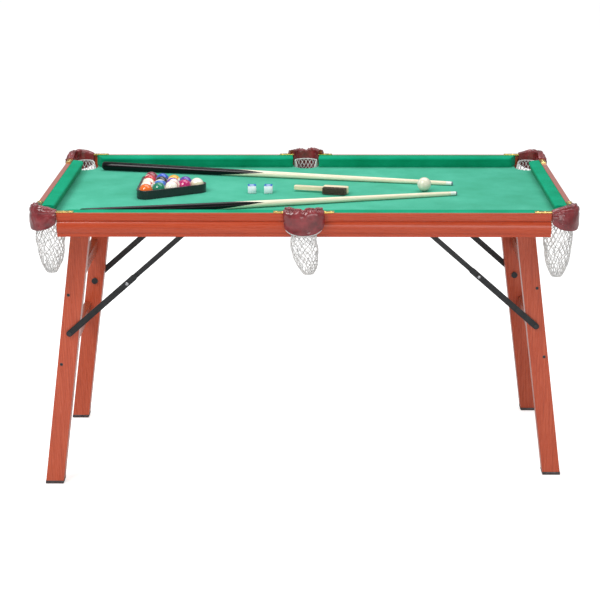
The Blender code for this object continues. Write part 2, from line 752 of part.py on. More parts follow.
def make_lower_link(row, column, on_leg, lower_y, face, inward, rise):
    """The link on the leg: its pin runs through the leg to a round nut, and a rivet stands outside it."""
    name = f"brace_lower_{row}_{column}"
    side = LEG_FRAMES[column][0]
    outline = strap(LOWER_LINK, LOWER_LINK_WIDTH, LOWER_LINK_OVERRUN)
    aim = rise if side < 0 else math.pi - rise
    turned = [turn_point(point, aim) for point in outline]
    link = as_mesh(plate(name, [turned], LINK_THICKNESS))
    link.data.transform(Matrix.Rotation(math.pi / 2, 4, "X"))
    location = (on_leg[0], lower_y, on_leg[1])
    outer_face = -inward * LINK_THICKNESS / 2
    nut_face = face + inward * (LEG_DEPTH + LINK_CLEARANCE) - lower_y
    nut_end = nut_face + inward * NUT_THICKNESS
    pin = rod(f"brace_pin_{row}_{column}", BRACE_PIN_RADIUS, outer_face, nut_end - inward * PIN_END_INSET)
    boolean(link, pin, "UNION", location)
    nut = rod(f"brace_nut_{row}_{column}", NUT_RADIUS, nut_face, nut_end, 16)
    boolean(link, nut, "UNION", location)
    head_out = outer_face - inward * HEAD_HEIGHT
    head = rod(f"brace_head_{row}_{column}", PIN_HEAD_RADIUS, head_out, 0)
    boolean(link, head, "UNION", location)
    centre = turn_point((LOWER_LINK, 0), aim)
    rivet = rod(f"brace_rivet_{row}_{column}", RIVET_RADIUS, head_out, 0)
    boolean(link, rivet, "UNION", (on_leg[0] + centre[0], lower_y, on_leg[1] + centre[1]))
    place(link, "black_steel", location)


def make_upper_link(row, column, bracket, upper_y, upper_length, rise):
    name = f"brace_upper_{row}_{column}"
    side = LEG_FRAMES[column][0]
    aim = math.pi + rise if side < 0 else -rise
    outline = strap(upper_length, UPPER_LINK_WIDTH, 0)
    holes = [circle(0, 0, BRACE_HOLE_RADIUS), circle(upper_length, 0, BRACE_HOLE_RADIUS)]
    turned = [[turn_point(point, aim) for point in line] for line in [outline] + holes]
    link = plate(name, turned, LINK_THICKNESS)
    place(link, "black_steel", (bracket[0], upper_y, bracket[1]), (math.pi / 2, 0, 0))


def make_bracket(row, column, bracket, upper_y, inward):
    """An angle under the bed: a screw plate, and an ear with the pin that carries the upper link."""
    name = f"brace_bracket_{row}_{column}"
    near = upper_y - inward * (LINK_THICKNESS / 2 + GAP)
    far = near - inward * EAR_THICKNESS
    tip = far - inward * FLANGE_REACH
    top = BOARD_BOTTOM - GAP - bracket[1]
    ys = sorted((near - upper_y, far - upper_y))
    ear = block(name, (-EAR_HALF, ys[0], EAR_LOW), (EAR_HALF, ys[1], top))
    location = (bracket[0], upper_y, bracket[1])
    ys = sorted((near - upper_y, tip - upper_y))
    low = (-FLANGE_HALF, ys[0], top - FLANGE_THICKNESS)
    flange = block(name + "_flange", low, (FLANGE_HALF, ys[1], top))
    boolean(ear, flange, "UNION", location)
    pin_end = inward * (LINK_THICKNESS / 2 + PIN_PROUD)
    pin = rod(name + "_pin", BRACE_PIN_RADIUS, (far - upper_y), pin_end)
    boolean(ear, pin, "UNION", location)
    place(ear, "black_steel", location)


def turn_point(point, angle):
    x, y = point
    return x * math.cos(angle) - y * math.sin(angle), x * math.sin(angle) + y * math.cos(angle)


def make_leg_frames():
    for column, (_, front_face, back_face) in LEG_FRAMES.items():
        make_leg_frame(column)
        make_brace("front", column, front_face, 1)
        make_brace("back", column, back_face, -1)


# Loose playing set


def ball(name, centre, steps, rings, turn=0.0):
    bm = bmesh.new()
    bmesh.ops.create_uvsphere(bm, u_segments=steps, v_segments=rings, radius=BALL_RADIUS)
    bmesh.ops.rotate(bm, cent=(0, 0, 0), matrix=Matrix.Rotation(turn, 3, "Z"), verts=bm.verts)
    bmesh.ops.translate(bm, vec=centre, verts=bm.verts)
    return bpy.data.objects.new(name, mesh_from(name, bm))


def rack_spots():
    """The centres of the fifteen racked balls, with the point of the triangle towards +X."""
    pitch = 2 * BALL_RADIUS + GAP
    step = pitch * math.sqrt(3) / 2
    spots = []
    for row in range(5):
        x = RACK_X + (8 / 3 - row) * step
        for i in range(row + 1):
            spots.append((x, RACK_Y + (i - row / 2) * pitch))
    return spots


def make_racked_balls():
    """Fifteen balls held as one solid by a thin web at the height of their middles."""
    height = BED_TOP + GAP + BALL_RADIUS
    web = as_mesh(plate("racked_balls", [triangle_outline(WEB_RADIUS)], WEB_THICKNESS))
    web.data.transform(Matrix.Translation((0, 0, height + WEB_LIFT)))
    for index, (x, y) in enumerate(rack_spots()):
        one = ball(f"racked_ball_{index + 1}", (x, y, height), ROUND_STEPS, 8, RACK_TURN)
        boolean(web, one, "UNION")
    place(web, "ball_resin")


def triangle_outline(radius, steps=4):
    """The rack's outline at a distance from the centres of its three corner balls."""
    spots = rack_spots()
    points = []
    for (x, y), start in ((spots[0], -60), (spots[14], 60), (spots[10], 180)):
        points += arc(x, y, radius, start, start + 120, steps)
    return points


def make_rack():
    inside = BALL_RADIUS + RACK_CLEARANCE
    outlines = [triangle_outline(inside + RACK_WALL), triangle_outline(inside)]
    rack = plate("rack_triangle", outlines, RACK_HEIGHT)
    place(rack, "black_plastic", (0, 0, BED_TOP + GAP + RACK_HEIGHT / 2))


def make_cue_ball():
    made = ball("cue_ball", (0, 0, 0), 16, 10)
    smooth(place(made, "cue_ball_resin", (*CUE_BALL_AT, BED_TOP + GAP + BALL_RADIUS)))


def make_cue(name, butt, tip):
    """A turned cue lying on the bed, thick at the butt."""
    butt_end = Vector((*butt, BED_TOP + 3 * GAP + CUE_BUTT_RADIUS))
    tip_end = Vector((*tip, BED_TOP + 3 * GAP + CUE_TIP_RADIUS))
    length = (tip_end - butt_end).length
    point = [(CUE_TIP_RADIUS + more, length - back) for more, back in CUE_POINT]
    profile = [(0, 0), *CUE_BUTT, *point, (0, length)]
    bm = bmesh.new()
    points = [bm.verts.new((radius, 0, z)) for radius, z in reversed(profile)]
    for first, second in zip(points, points[1:]):
        bm.edges.new((first, second))
    mesh = bpy.data.meshes.new(name)
    bm.to_mesh(mesh)
    bm.free()
    cue = bpy.data.objects.new(name, mesh)
    screw = cue.modifiers.new("Turning", "SCREW")
    screw.steps = 12
    screw.render_steps = 12
    screw.use_merge_vertices = True
    screw.merge_threshold = WELD_DISTANCE
    turn = (tip_end - butt_end).to_track_quat("Z", "Y").to_euler()
    place(cue, "maple", butt_end, turn)


def make_chalks():
    half = CHALK_SIDE / 2
    for name, (x, y, degrees) in CHALKS.items():
        chalk = block(name, (-half, -half, -half), (half, half, half))
        bevel = chalk.modifiers.new("Edges", "BEVEL")
        bevel.width = CHALK_EDGE
        bevel.segments = 1
        place(chalk, "chalk_block", (x, y, BED_TOP + GAP + half), (0, 0, math.radians(degrees)))


def make_brush():
    """A table brush on its side: a round handle, and a head whose bristles point to the front."""
    head = block("brush", BRUSH_HEAD_LOW, BRUSH_HEAD_HIGH)
    location = (*BRUSH_AT, BED_TOP + GAP)
    rotation = (0, 0, BRUSH_ANGLE)
    boolean(head, block("brush_bristles", BRISTLES_LOW, BRISTLES_HIGH), "UNION", location, rotation)
    line_y, line_z = BRUSH_HANDLE_LINE
    rings = []
    for x, radius in BRUSH_HANDLE:
        rings.append([(x, y, z) for y, z in circle(line_y, line_z, radius, BRUSH_HANDLE_SIDES)])
    boolean(head, loft("brush_handle", rings), "UNION", location, rotation)
    place(head, "brush_wood", location, rotation)


def make_playing_set():
    make_rack()
    make_racked_balls()
    make_cue_ball()
    make_cue("cue_far", *CUE_FAR)
    make_cue("cue_near", *CUE_NEAR)
    make_chalks()
    make_brush()


clear_scene()
make_collections()
looks = make_materials()
make_bed()
make_aprons()
make_rails()
make_irons()
make_leathers()
make_nets()
make_leg_frames()
make_playing_set()
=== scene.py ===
"""Mini pool table: the visible model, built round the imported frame."""

import math

import bmesh
import bpy
from mathutils import Matrix, Vector, noise


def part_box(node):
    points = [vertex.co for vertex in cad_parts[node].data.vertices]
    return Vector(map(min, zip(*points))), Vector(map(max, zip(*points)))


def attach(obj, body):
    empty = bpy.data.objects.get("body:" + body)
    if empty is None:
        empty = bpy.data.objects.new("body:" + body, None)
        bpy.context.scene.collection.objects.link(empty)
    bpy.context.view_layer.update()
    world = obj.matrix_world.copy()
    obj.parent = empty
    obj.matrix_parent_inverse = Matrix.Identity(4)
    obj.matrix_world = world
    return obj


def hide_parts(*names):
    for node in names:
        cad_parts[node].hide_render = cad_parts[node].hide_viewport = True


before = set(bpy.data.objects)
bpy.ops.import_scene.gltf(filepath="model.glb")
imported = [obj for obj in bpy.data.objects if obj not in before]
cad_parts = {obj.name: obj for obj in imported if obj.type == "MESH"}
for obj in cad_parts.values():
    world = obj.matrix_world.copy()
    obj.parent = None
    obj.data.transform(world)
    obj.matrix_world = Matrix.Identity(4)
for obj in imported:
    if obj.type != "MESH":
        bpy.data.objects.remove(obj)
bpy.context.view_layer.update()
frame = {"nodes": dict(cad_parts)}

nodes = frame["nodes"]

# Sizes shared with the CAD model
RAIL_TOP = 0.771
BED_TOP = 0.741
GAP = 0.0003
BED_HALF_LENGTH = 0.6757
BED_HALF_WIDTH = 0.3617
SIDE_NOSE = 0.322
END_NOSE = 0.6435
NOSE_UNDERCUT = 0.009
CORNER_X = 0.648
CORNER_Y = 0.325
IRON_RADIUS = 0.0355
IRON_WIDTH = 0.014
IRON_TOP = 0.7743
IRON_UNDER = 0.7715
LEATHER_TOP = 0.789
LEATHER_END_TOP = 0.7775
LEATHER_INNER_BOTTOM = 0.7585
LEATHER_BOTTOM = 0.7235
LEATHER_END_BOTTOM = 0.750
MIDDLE_LEATHER_TOP = 0.786
MIDDLE_LEATHER_BOTTOM = 0.720
MIDDLE_LEATHER_END_BOTTOM = 0.745
MIDDLE_HALF_CHORD = 0.042
MIDDLE_BULGE = 0.0255
HOLE_RADIUS = 0.0375
MIDDLE_HOLE_Y = 0.352
NET_TOP = 0.7575
NET_FULL_BOTTOM = 0.595
NET_NECK = 0.712
PIVOT_X = 0.579
PIVOT_Z = 0.695
SPLAY = math.atan2(0.675 - PIVOT_X, PIVOT_Z)
LEG_WIDTH = 0.0475
LEG_DEPTH = 0.038
LEG_FRAMES = {"left": (-1, -0.286, 0.254), "right": (1, -0.216, 0.324)}
BALL_RADIUS = 0.019
CHALK_SIDE = 0.0225
CHALK_ROUNDING = 0.0009
# The braces' middle rivets, and how far their outer links stand off the legs
BRACE_MIDDLE_X = 0.4605
BRACE_MIDDLE_Z = 0.5644
LINK_STACK = 0.0058
SIDES = (("left", -1), ("right", 1))
ROWS = (("front", -1), ("back", 1))


# Camera, floor and light

CAMERA_PLACE = (0.03842, -4.35865, 1.73723)
CAMERA_TURN = (-0.0120253, 0.2906378, -0.0020019)
CAMERA_LENS = 97.805
# The light from all round, and the floor's own glow where the camera sees it
WORLD_LIGHT = 0.40
FLOOR_GLOW = 0.66
FLOOR_HALF = 40
FLOOR_DROP = 0.002


def make_camera():
    yaw, pitch, roll = CAMERA_TURN
    ahead = Vector((math.sin(yaw) * math.cos(pitch), math.cos(yaw) * math.cos(pitch), -math.sin(pitch)))
    right = Vector((math.cos(yaw), -math.sin(yaw), 0))
    up = right.cross(ahead)
    across = right * math.cos(roll) + up * math.sin(roll)
    upright = up * math.cos(roll) - right * math.sin(roll)
    data = bpy.data.cameras.new("camera")
    data.lens = CAMERA_LENS
    data.sensor_width = 36
    data.clip_start = 0.05
    data.clip_end = 100
    camera = bpy.data.objects.new("camera", data)
    bpy.context.scene.collection.objects.link(camera)
    turned = Matrix((across, upright, -ahead)).transposed().to_4x4()
    camera.matrix_world = Matrix.Translation(CAMERA_PLACE) @ turned
    bpy.context.scene.camera = camera


def area_light(name, place, target, size, power):
    data = bpy.data.lights.new(name, "AREA")
    data.shape = "RECTANGLE"
    data.size, data.size_y = size
    data.energy = power
    light = bpy.data.objects.new(name, data)
    bpy.context.scene.collection.objects.link(light)
    light.location = place
    light.rotation_mode = "QUATERNION"
    light.rotation_quaternion = (Vector(target) - Vector(place)).to_track_quat("-Z", "Y")


def make_stage():
    scene = bpy.context.scene
    scene.view_settings.view_transform = "Standard"
    scene.view_settings.look = "None"
    world = bpy.data.worlds.new("studio")
    world.use_nodes = True
    background = world.node_tree.nodes["Background"]
    background.inputs["Color"].default_value = (1.0, 1.0, 1.0, 1.0)
    background.inputs["Strength"].default_value = WORLD_LIGHT
    seen = world.node_tree.nodes.new("ShaderNodeBackground")
    seen.inputs["Color"].default_value = (1.0, 1.0, 1.0, 1.0)
    seen.inputs["Strength"].default_value = 1.0
    ray = world.node_tree.nodes.new("ShaderNodeLightPath")
    blend = world.node_tree.nodes.new("ShaderNodeMixShader")
    links = world.node_tree.links
    links.new(ray.outputs["Is Camera Ray"], blend.inputs[0])
    links.new(background.outputs[0], blend.inputs[1])
    links.new(seen.outputs[0], blend.inputs[2])
    links.new(blend.outputs[0], world.node_tree.nodes["World Output"].inputs[0])
    scene.world = world
    mesh = bpy.data.meshes.new("floor")
    corners = [(x * FLOOR_HALF, y * FLOOR_HALF, 0) for x, y in ((-1, -1), (1, -1), (1, 1), (-1, 1))]
    mesh.from_pydata(corners, [], [(0, 1, 2, 3)])
    floor = bpy.data.objects.new("floor", mesh)
    scene.collection.objects.link(floor)
    floor.location.z = -FLOOR_DROP
    look = bpy.data.materials.new("floor")
    look.use_nodes = True
    shader = look.node_tree.nodes["Principled BSDF"]
    shader.inputs["Base Color"].default_value = (0.9, 0.9, 0.9, 1.0)
    shader.inputs["Roughness"].default_value = 0.9
    nodes, links = look.node_tree.nodes, look.node_tree.links
    glow = nodes.new("ShaderNodeEmission")
    strength = nodes.new("ShaderNodeMath")
    strength.operation = "MULTIPLY"
    strength.inputs[1].default_value = FLOOR_GLOW
    links.new(nodes.new("ShaderNodeLightPath").outputs["Is Camera Ray"], strength.inputs[0])
    links.new(strength.outputs[0], glow.inputs["Strength"])
    both = nodes.new("ShaderNodeAddShader")
    links.new(shader.outputs[0], both.inputs[0])
    links.new(glow.outputs[0], both.inputs[1])
    links.new(both.outputs[0], nodes["Material Output"].inputs["Surface"])
    mesh.materials.append(look)
    area_light("key", (-1.6, -1.7, 3.1), (0, 0, 0.7), (1.6, 1.6), 66)
    area_light("top", (0.4, 0.6, 3.2), (0, 0, 0.7), (3.2, 1.6), 44)
    area_light("front", (1.2, -4.2, 1.2), (0, 0, 0.5), (2.5, 1.5), 36)


# Materials


def rgb(red, green, blue):
    """A colour given as it looks on a screen, 0 to 255, as a shader's linear one."""

    def linear(v):
        return v / 255 / 12.92 if v < 10.31 else ((v / 255 + 0.055) / 1.055) ** 2.4

    return (linear(red), linear(green), linear(blue), 1.0)


class Look:
    """A material and short ways to add its nodes."""

    def __init__(self, name, **sockets):
        self.material = bpy.data.materials.new(name)
        self.material.use_nodes = True
        self.tree = self.material.node_tree
        self.shader = self.tree.nodes["Principled BSDF"]
        for socket, value in sockets.items():
            self.shader.inputs[socket.replace("_", " ")].default_value = value
        self.coords = self.tree.nodes.new("ShaderNodeTexCoord").outputs["Object"]

    def set(self, node, socket, value):
        if isinstance(value, bpy.types.NodeSocket):
            self.tree.links.new(value, node.inputs[socket])
        else:
            node.inputs[socket].default_value = value

    def mapped(self, scale=(1, 1, 1), rotation=(0, 0, 0), vector=None):
        node = self.tree.nodes.new("ShaderNodeMapping")
        self.set(node, "Vector", vector or self.coords)
        node.inputs["Rotation"].default_value = rotation
        node.inputs["Scale"].default_value = scale
        return node.outputs["Vector"]

    def noise(self, scale, detail=3.0, rough=0.55, vector=None, distortion=0.0):
        node = self.tree.nodes.new("ShaderNodeTexNoise")
        self.set(node, "Vector", vector or self.coords)
        node.inputs["Scale"].default_value = scale
        node.inputs["Detail"].default_value = detail
        node.inputs["Roughness"].default_value = rough
        node.inputs["Distortion"].default_value = distortion
        return node.outputs["Fac"]

    def cells(self, scale, vector=None, feature="F1"):
        node = self.tree.nodes.new("ShaderNodeTexVoronoi")
        node.feature = feature
        self.set(node, "Vector", vector or self.coords)
        node.inputs["Scale"].default_value = scale
        return node.outputs["Distance"]

    def wave(self, scale, axis="X", distortion=0.0, vector=None, kind="BANDS", detail_scale=1.0):
        node = self.tree.nodes.new("ShaderNodeTexWave")
        node.wave_type = kind
        node.bands_direction = axis
        self.set(node, "Vector", vector or self.coords)
        node.inputs["Scale"].default_value = scale
        node.inputs["Distortion"].default_value = distortion
        node.inputs["Detail Scale"].default_value = detail_scale
        return node.outputs["Fac"]

    def ramp(self, fac, stops):
        node = self.tree.nodes.new("ShaderNodeValToRGB")
        self.set(node, "Fac", fac)
        ramp = node.color_ramp
        while len(ramp.elements) < len(stops):
            ramp.elements.new(0.5)
        for element, (at, colour) in zip(ramp.elements, stops):
            element.position = at
            element.color = colour if hasattr(colour, "__len__") else (colour, colour, colour, 1)
        return node.outputs["Color"]

    def span(self, fac, low, high, to_low=0.0, to_high=1.0):
        node = self.tree.nodes.new("ShaderNodeMapRange")
        self.set(node, "Value", fac)
        for socket, value in zip(("From Min", "From Max", "To Min", "To Max"), (low, high, to_low, to_high)):
            node.inputs[socket].default_value = value
        return node.outputs["Result"]

    def mix(self, fac, first, second, blend="MIX"):
        node = self.tree.nodes.new("ShaderNodeMix")
        node.data_type = "RGBA"
        node.blend_type = blend
        self.set(node, 0, fac)
        self.set(node, 6, first)
        self.set(node, 7, second)
        return node.outputs[2]

    def maths(self, operation, first, second=0.0):
        node = self.tree.nodes.new("ShaderNodeMath")
        node.operation = operation
        self.set(node, 0, first)
        self.set(node, 1, second)
        return node.outputs[0]

    def axis(self, name, vector=None):
        node = self.tree.nodes.new("ShaderNodeSeparateXYZ")
        self.set(node, 0, vector or self.coords)
        return node.outputs[name]

    def worn_edges(self, low=0.52, high=0.62):
        """1 along convex edges, 0 elsewhere."""
        geometry = self.tree.nodes.new("ShaderNodeNewGeometry")
        return self.span(geometry.outputs["Pointiness"], low, high)

    def bump(self, height, distance, strength=1.0, normal=None):
        node = self.tree.nodes.new("ShaderNodeBump")
        node.inputs["Strength"].default_value = strength
        node.inputs["Distance"].default_value = distance
        self.set(node, "Height", height)
        if normal:
            self.set(node, "Normal", normal)
        return node.outputs["Normal"]

    def done(self, colour=None, roughness=None, normal=None):
        for socket, value in (("Base Color", colour), ("Roughness", roughness), ("Normal", normal)):
            if value is not None:
                self.set(self.shader, socket, value)
        return self.material


def cloth_look(name, dark, middle, light):
    look = Look(name, Sheen_Weight=0.03, Sheen_Roughness=0.4, Specular_IOR_Level=0.08)
    cloud = look.noise(9.0, 4.0, 0.6)
    fibre = look.noise(900.0, 2.0, 0.7)
    speck = look.maths("ADD", look.maths("MULTIPLY", cloud, 0.6), look.maths("MULTIPLY", fibre, 0.4))
    colour = look.ramp(speck, [(0.34, dark), (0.5, middle), (0.66, light)])
    warp = look.wave(520.0, "X")
    weft = look.wave(520.0, "Y")
    weave = look.maths("MAXIMUM", warp, weft)
    nap = look.maths("ADD", look.maths("MULTIPLY", weave, 0.4), fibre)
    roughness = look.span(cloud, 0.3, 0.7, 0.86, 0.98)
    return look.done(colour, roughness, look.bump(nap, 0.00022, 0.7))


def wood_look(name, dark, middle, light, stretch, rotation=(0, 0, 0), gloss=(0.22, 0.38), coat=0.35):
    """Stained wood. stretch is the mapping's scale: small along the grain."""
    look = Look(name, Coat_Weight=coat, Coat_Roughness=0.14, Specular_IOR_Level=0.4)
    vector = look.mapped(stretch, rotation)
    bands = look.noise(2.6, 5.0, 0.6, vector, 0.8)
    pores = look.noise(15.0, 3.0, 0.65, vector)
    streak = look.wave(1.1, "DIAGONAL", 6.0, vector)
    grain = look.maths("ADD", look.maths("MULTIPLY", bands, 0.62), look.maths("MULTIPLY", streak, 0.10))
    grain = look.maths("ADD", grain, look.maths("MULTIPLY", pores, 0.28))
    colour = look.ramp(grain, [(0.26, dark), (0.50, middle), (0.76, light)])
    colour = look.mix(look.maths("MULTIPLY", look.worn_edges(), 0.35), colour, light)
    roughness = look.span(pores, 0.3, 0.7, *gloss)
    return look.done(colour, roughness, look.bump(pores, 0.00006, 0.4))


def leather_look():
    look = Look("pocket_leather", Coat_Weight=1.0, Coat_Roughness=0.10, Specular_IOR_Level=0.35)
    cloud = look.noise(38.0, 4.0, 0.6)
    colour = look.ramp(cloud, [(0.30, rgb(88, 14, 18)), (0.52, rgb(124, 26, 32)), (0.75, rgb(150, 46, 52))])
    pebble = look.cells(900.0)
    crease = look.cells(230.0, look.mapped((1, 1, 1.6)), "DISTANCE_TO_EDGE")
    edge = look.span(crease, 0.0, 0.12)
    height = look.maths("ADD", look.maths("MULTIPLY", edge, 0.7), look.maths("MULTIPLY", pebble, 0.3))
    valley = look.maths("SUBTRACT", 1.0, edge)
    colour = look.mix(look.maths("MULTIPLY", valley, 0.25), colour, rgb(60, 14, 22))
    colour = look.mix(look.maths("MULTIPLY", look.worn_edges(0.52, 0.60), 0.3), colour, rgb(170, 84, 90))
    return look.done(colour, look.span(cloud, 0.3, 0.7, 0.30, 0.44), look.bump(height, 0.0002, 0.5))


def cord_look():
    look = Look("net_cord", Sheen_Weight=0.2, Specular_IOR_Level=0.25)
    cloud = look.noise(60.0, 3.0)
    colour = look.ramp(cloud, [(0.3, rgb(206, 206, 206)), (0.6, rgb(232, 232, 230))])
    strands = look.wave(700.0, "DIAGONAL", 2.0)
    fibre = look.noise(1800.0, 2.0)
    height = look.maths("ADD", strands, look.maths("MULTIPLY", fibre, 0.5))
    return look.done(colour, look.span(fibre, 0.3, 0.7, 0.75, 0.95), look.bump(height, 0.0002, 0.7))


def brass_look():
    look = Look("brass", Metallic=1.0, Specular_IOR_Level=0.5)
    cloud = look.noise(70.0, 4.0)
    brushed = look.noise(60.0, 3.0, 0.7, look.mapped((4, 40, 40)))
    tones = (rgb(196, 138, 38), rgb(236, 196, 92), rgb(250, 224, 140))
    colour = look.ramp(cloud, list(zip((0.3, 0.55, 0.75), tones)))
    colour = look.mix(look.worn_edges(), colour, rgb(255, 240, 178))
    return look.done(colour, look.span(brushed, 0.3, 0.7, 0.16, 0.34), look.bump(brushed, 0.00008, 0.5))


def steel_look(name, dark, light, rough, metallic):
    look = Look(name, Metallic=metallic, Specular_IOR_Level=0.5)
    cloud = look.noise(45.0, 4.0)
    grain = look.noise(1500.0, 2.0)
    colour = look.ramp(cloud, [(0.3, dark), (0.7, light)])
    colour = look.mix(look.maths("MULTIPLY", look.worn_edges(), 0.6), colour, rgb(120, 122, 124))
    return look.done(colour, look.span(cloud, 0.3, 0.7, *rough), look.bump(grain, 0.00012, 0.5))


def board_look():
    look = Look("bare_board", Specular_IOR_Level=0.2)
    chips = look.cells(260.0, look.mapped((1, 2.2, 1)))
    cloud = look.noise(14.0, 4.0)
    speck = look.maths("ADD", look.maths("MULTIPLY", chips, 0.5), look.maths("MULTIPLY", cloud, 0.6))
    tones = (rgb(150, 112, 72), rgb(184, 146, 102), rgb(206, 172, 128))
    colour = look.ramp(speck, list(zip((0.25, 0.5, 0.8), tones)))
    return look.done(colour, look.span(cloud, 0.3, 0.7, 0.75, 0.92), look.bump(chips, 0.0002, 0.5))


def plastic_look(name, dark, light):
    look = Look(name, Specular_IOR_Level=0.5, Coat_Weight=0.2, Coat_Roughness=0.1)
    cloud = look.noise(50.0, 3.0)
    grain = look.noise(700.0, 2.0)
    colour = look.ramp(cloud, [(0.3, dark), (0.7, light)])
    colour = look.mix(look.maths("MULTIPLY", look.worn_edges(), 0.4), colour, rgb(70, 70, 74))
    return look.done(colour, look.span(cloud, 0.3, 0.7, 0.24, 0.38), look.bump(grain, 0.00008, 0.4))


def ball_look(name, tint, striped):
    """Cast resin: a colour all over or as a band, with a pale disc at either side for the number."""
    look = Look(name, Coat_Weight=0.6, Coat_Roughness=0.03, Specular_IOR_Level=0.5)
    cloud = look.noise(60.0, 3.0)
    white = look.ramp(cloud, [(0.3, rgb(238, 232, 214)), (0.7, rgb(250, 247, 236))])
    deep = tuple(c * 0.82 for c in tint[:3]) + (1.0,)
    colour = look.ramp(cloud, [(0.3, deep), (0.7, tint)])
    z = look.maths("ABSOLUTE", look.axis("Z"))
    across = look.maths("ABSOLUTE", look.axis("X"))
    if striped:
        colour = look.mix(look.span(z, 0.50 * BALL_RADIUS, 0.53 * BALL_RADIUS), colour, white)
    colour = look.mix(look.span(across, 0.895 * BALL_RADIUS, 0.905 * BALL_RADIUS), colour, white)
    scuffs = look.noise(420.0, 3.0, 0.7)
    return look.done(colour, look.span(scuffs, 0.3, 0.8, 0.05, 0.16), look.bump(scuffs, 0.00002, 0.3))


# Where the cue's black points start and end, as shares of its length, and how they are turned round it
POINTS_START = 0.345
POINTS_END = 0.475
POINTS_TURN = math.radians(125)


def cue_look(name, length):
    """Maple with a black butt that ends in two long points, a white ferrule and a blue-grey tip."""
    look = Look(name, Coat_Weight=0.25, Coat_Roughness=0.05, Specular_IOR_Level=0.15)
    vector = look.mapped((60, 60, 3.0))
    grain = look.noise(2.2, 4.0, 0.6, vector, 0.8)
    flecks = look.noise(9.0, 2.0, 0.6, vector)
    maple = look.ramp(
        look.maths("ADD", look.maths("MULTIPLY", grain, 0.7), look.maths("MULTIPLY", flecks, 0.3)),
        [(0.3, rgb(228, 208, 172)), (0.5, rgb(244, 232, 206)), (0.7, rgb(252, 245, 226))],
    )
    black = look.ramp(grain, [(0.3, rgb(2, 2, 4)), (0.7, rgb(9, 9, 12))])
    along = look.axis("Z")
    turn = look.maths("ADD", look.maths("ARCTAN2", look.axis("Y"), look.axis("X")), POINTS_TURN)
    swing = look.maths("PINGPONG", turn, math.pi / 2)
    tooth = look.span(swing, 0, math.pi / 2, POINTS_START * length, POINTS_END * length)
    colour = look.mix(look.span(look.maths("SUBTRACT", along, tooth), -0.0006, 0.0006), black, maple)
    colour = look.mix(look.span(along, length - 0.0195, length - 0.0192), colour, rgb(244, 243, 238))
    colour = look.mix(look.span(along, length - 0.0042, length - 0.0040), colour, rgb(120, 138, 150))
    colour = look.mix(look.span(along, 0.0056, 0.0054), colour, rgb(30, 30, 32))
    return look.done(colour, look.span(flecks, 0.3, 0.7, 0.16, 0.28), look.bump(grain, 0.00006, 0.4))


def chalk_look():
    look = Look("chalk_block", Specular_IOR_Level=0.2)
    grit = look.noise(1400.0, 3.0, 0.8)
    cloud = look.noise(90.0, 4.0)
    colour = look.ramp(cloud, [(0.3, rgb(34, 92, 168)), (0.7, rgb(70, 132, 204))])
    return look.done(colour, look.span(cloud, 0.3, 0.7, 0.88, 1.0), look.bump(grit, 0.0004, 0.8))


def paper_look():
    look = Look("chalk_label", Specular_IOR_Level=0.35)
    fibre = look.noise(500.0, 4.0, 0.7)
    cloud = look.noise(70.0, 3.0)
    colour = look.ramp(cloud, [(0.3, rgb(226, 238, 246)), (0.7, rgb(248, 250, 252))])
    dust = look.span(look.axis("Z"), 0.0075, 0.0108)
    colour = look.mix(look.maths("MULTIPLY", dust, look.span(fibre, 0.45, 0.6)), colour, rgb(120, 170, 220))
    return look.done(colour, look.span(fibre, 0.3, 0.7, 0.5, 0.7), look.bump(fibre, 0.00006, 0.4))


def bristle_look():
    look = Look("bristle", Specular_IOR_Level=0.3)
    cloud = look.noise(300.0, 3.0)
    colour = look.ramp(cloud, [(0.3, rgb(48, 40, 34)), (0.7, rgb(100, 88, 74))])
    strands = look.noise(60.0, 2.0, 0.6, look.mapped((60, 2, 60)))
    return look.done(colour, look.span(cloud, 0.3, 0.7, 0.5, 0.7), look.bump(strands, 0.0002, 0.6))


def make_looks():
    looks = {
        "green_cloth": cloth_look("green_cloth", rgb(66, 166, 134), rgb(76, 178, 148), rgb(90, 190, 162)),
        # The cushions' cloth is the bed's green cloth painted darker: painted shade for the cushion faces
        # that turn away from the light
        "rail_cloth": cloth_look("rail_cloth", rgb(4, 138, 98), rgb(10, 154, 114), rgb(26, 168, 130)),
        "apron_side": wood_look(
            "apron_wood_side", rgb(160, 54, 20), rgb(180, 62, 24), rgb(196, 78, 36), (3.0, 90, 90), coat=0.28
        ),
        "apron_end": wood_look(
            "apron_wood_end", rgb(158, 54, 24), rgb(178, 64, 30), rgb(196, 82, 44), (90, 3.0, 90), coat=1.0
        ),
        "beam": wood_look("beam_wood", rgb(120, 52, 34), rgb(160, 74, 48), rgb(184, 98, 68), (80, 3.0, 80)),
        "pocket_leather": leather_look(),
        "net_cord": cord_look(),
        "brass": brass_look(),
        "black_steel": steel_look("black_steel", rgb(26, 27, 28), rgb(46, 48, 50), (0.34, 0.5), 0.35),
        "silver": steel_look("silver_rivet", rgb(150, 152, 156), rgb(196, 198, 202), (0.2, 0.35), 1.0),
        "bare_board": board_look(),
        "black_plastic": plastic_look("black_plastic", rgb(8, 10, 12), rgb(22, 24, 28)),
        "rubber": plastic_look("foot_rubber", rgb(40, 28, 26), rgb(62, 44, 40)),
        "chalk": chalk_look(),
        "paper": paper_look(),
        "bristle": bristle_look(),
        "brush_wood": wood_look(
            "brush_wood", rgb(222, 194, 150), rgb(240, 220, 184), rgb(250, 238, 210), (8, 160, 160)
        ),
    }
    for column, side in SIDES:
        looks[f"leg_{column}"] = wood_look(
            f"leg_wood_{column}",
            rgb(160, 62, 38),
            rgb(186, 78, 48),
            rgb(206, 102, 70),
            (80, 80, 3.0),
            (0, side * SPLAY, 0),
            coat=0.12,
        )
    return looks


# Mesh helpers


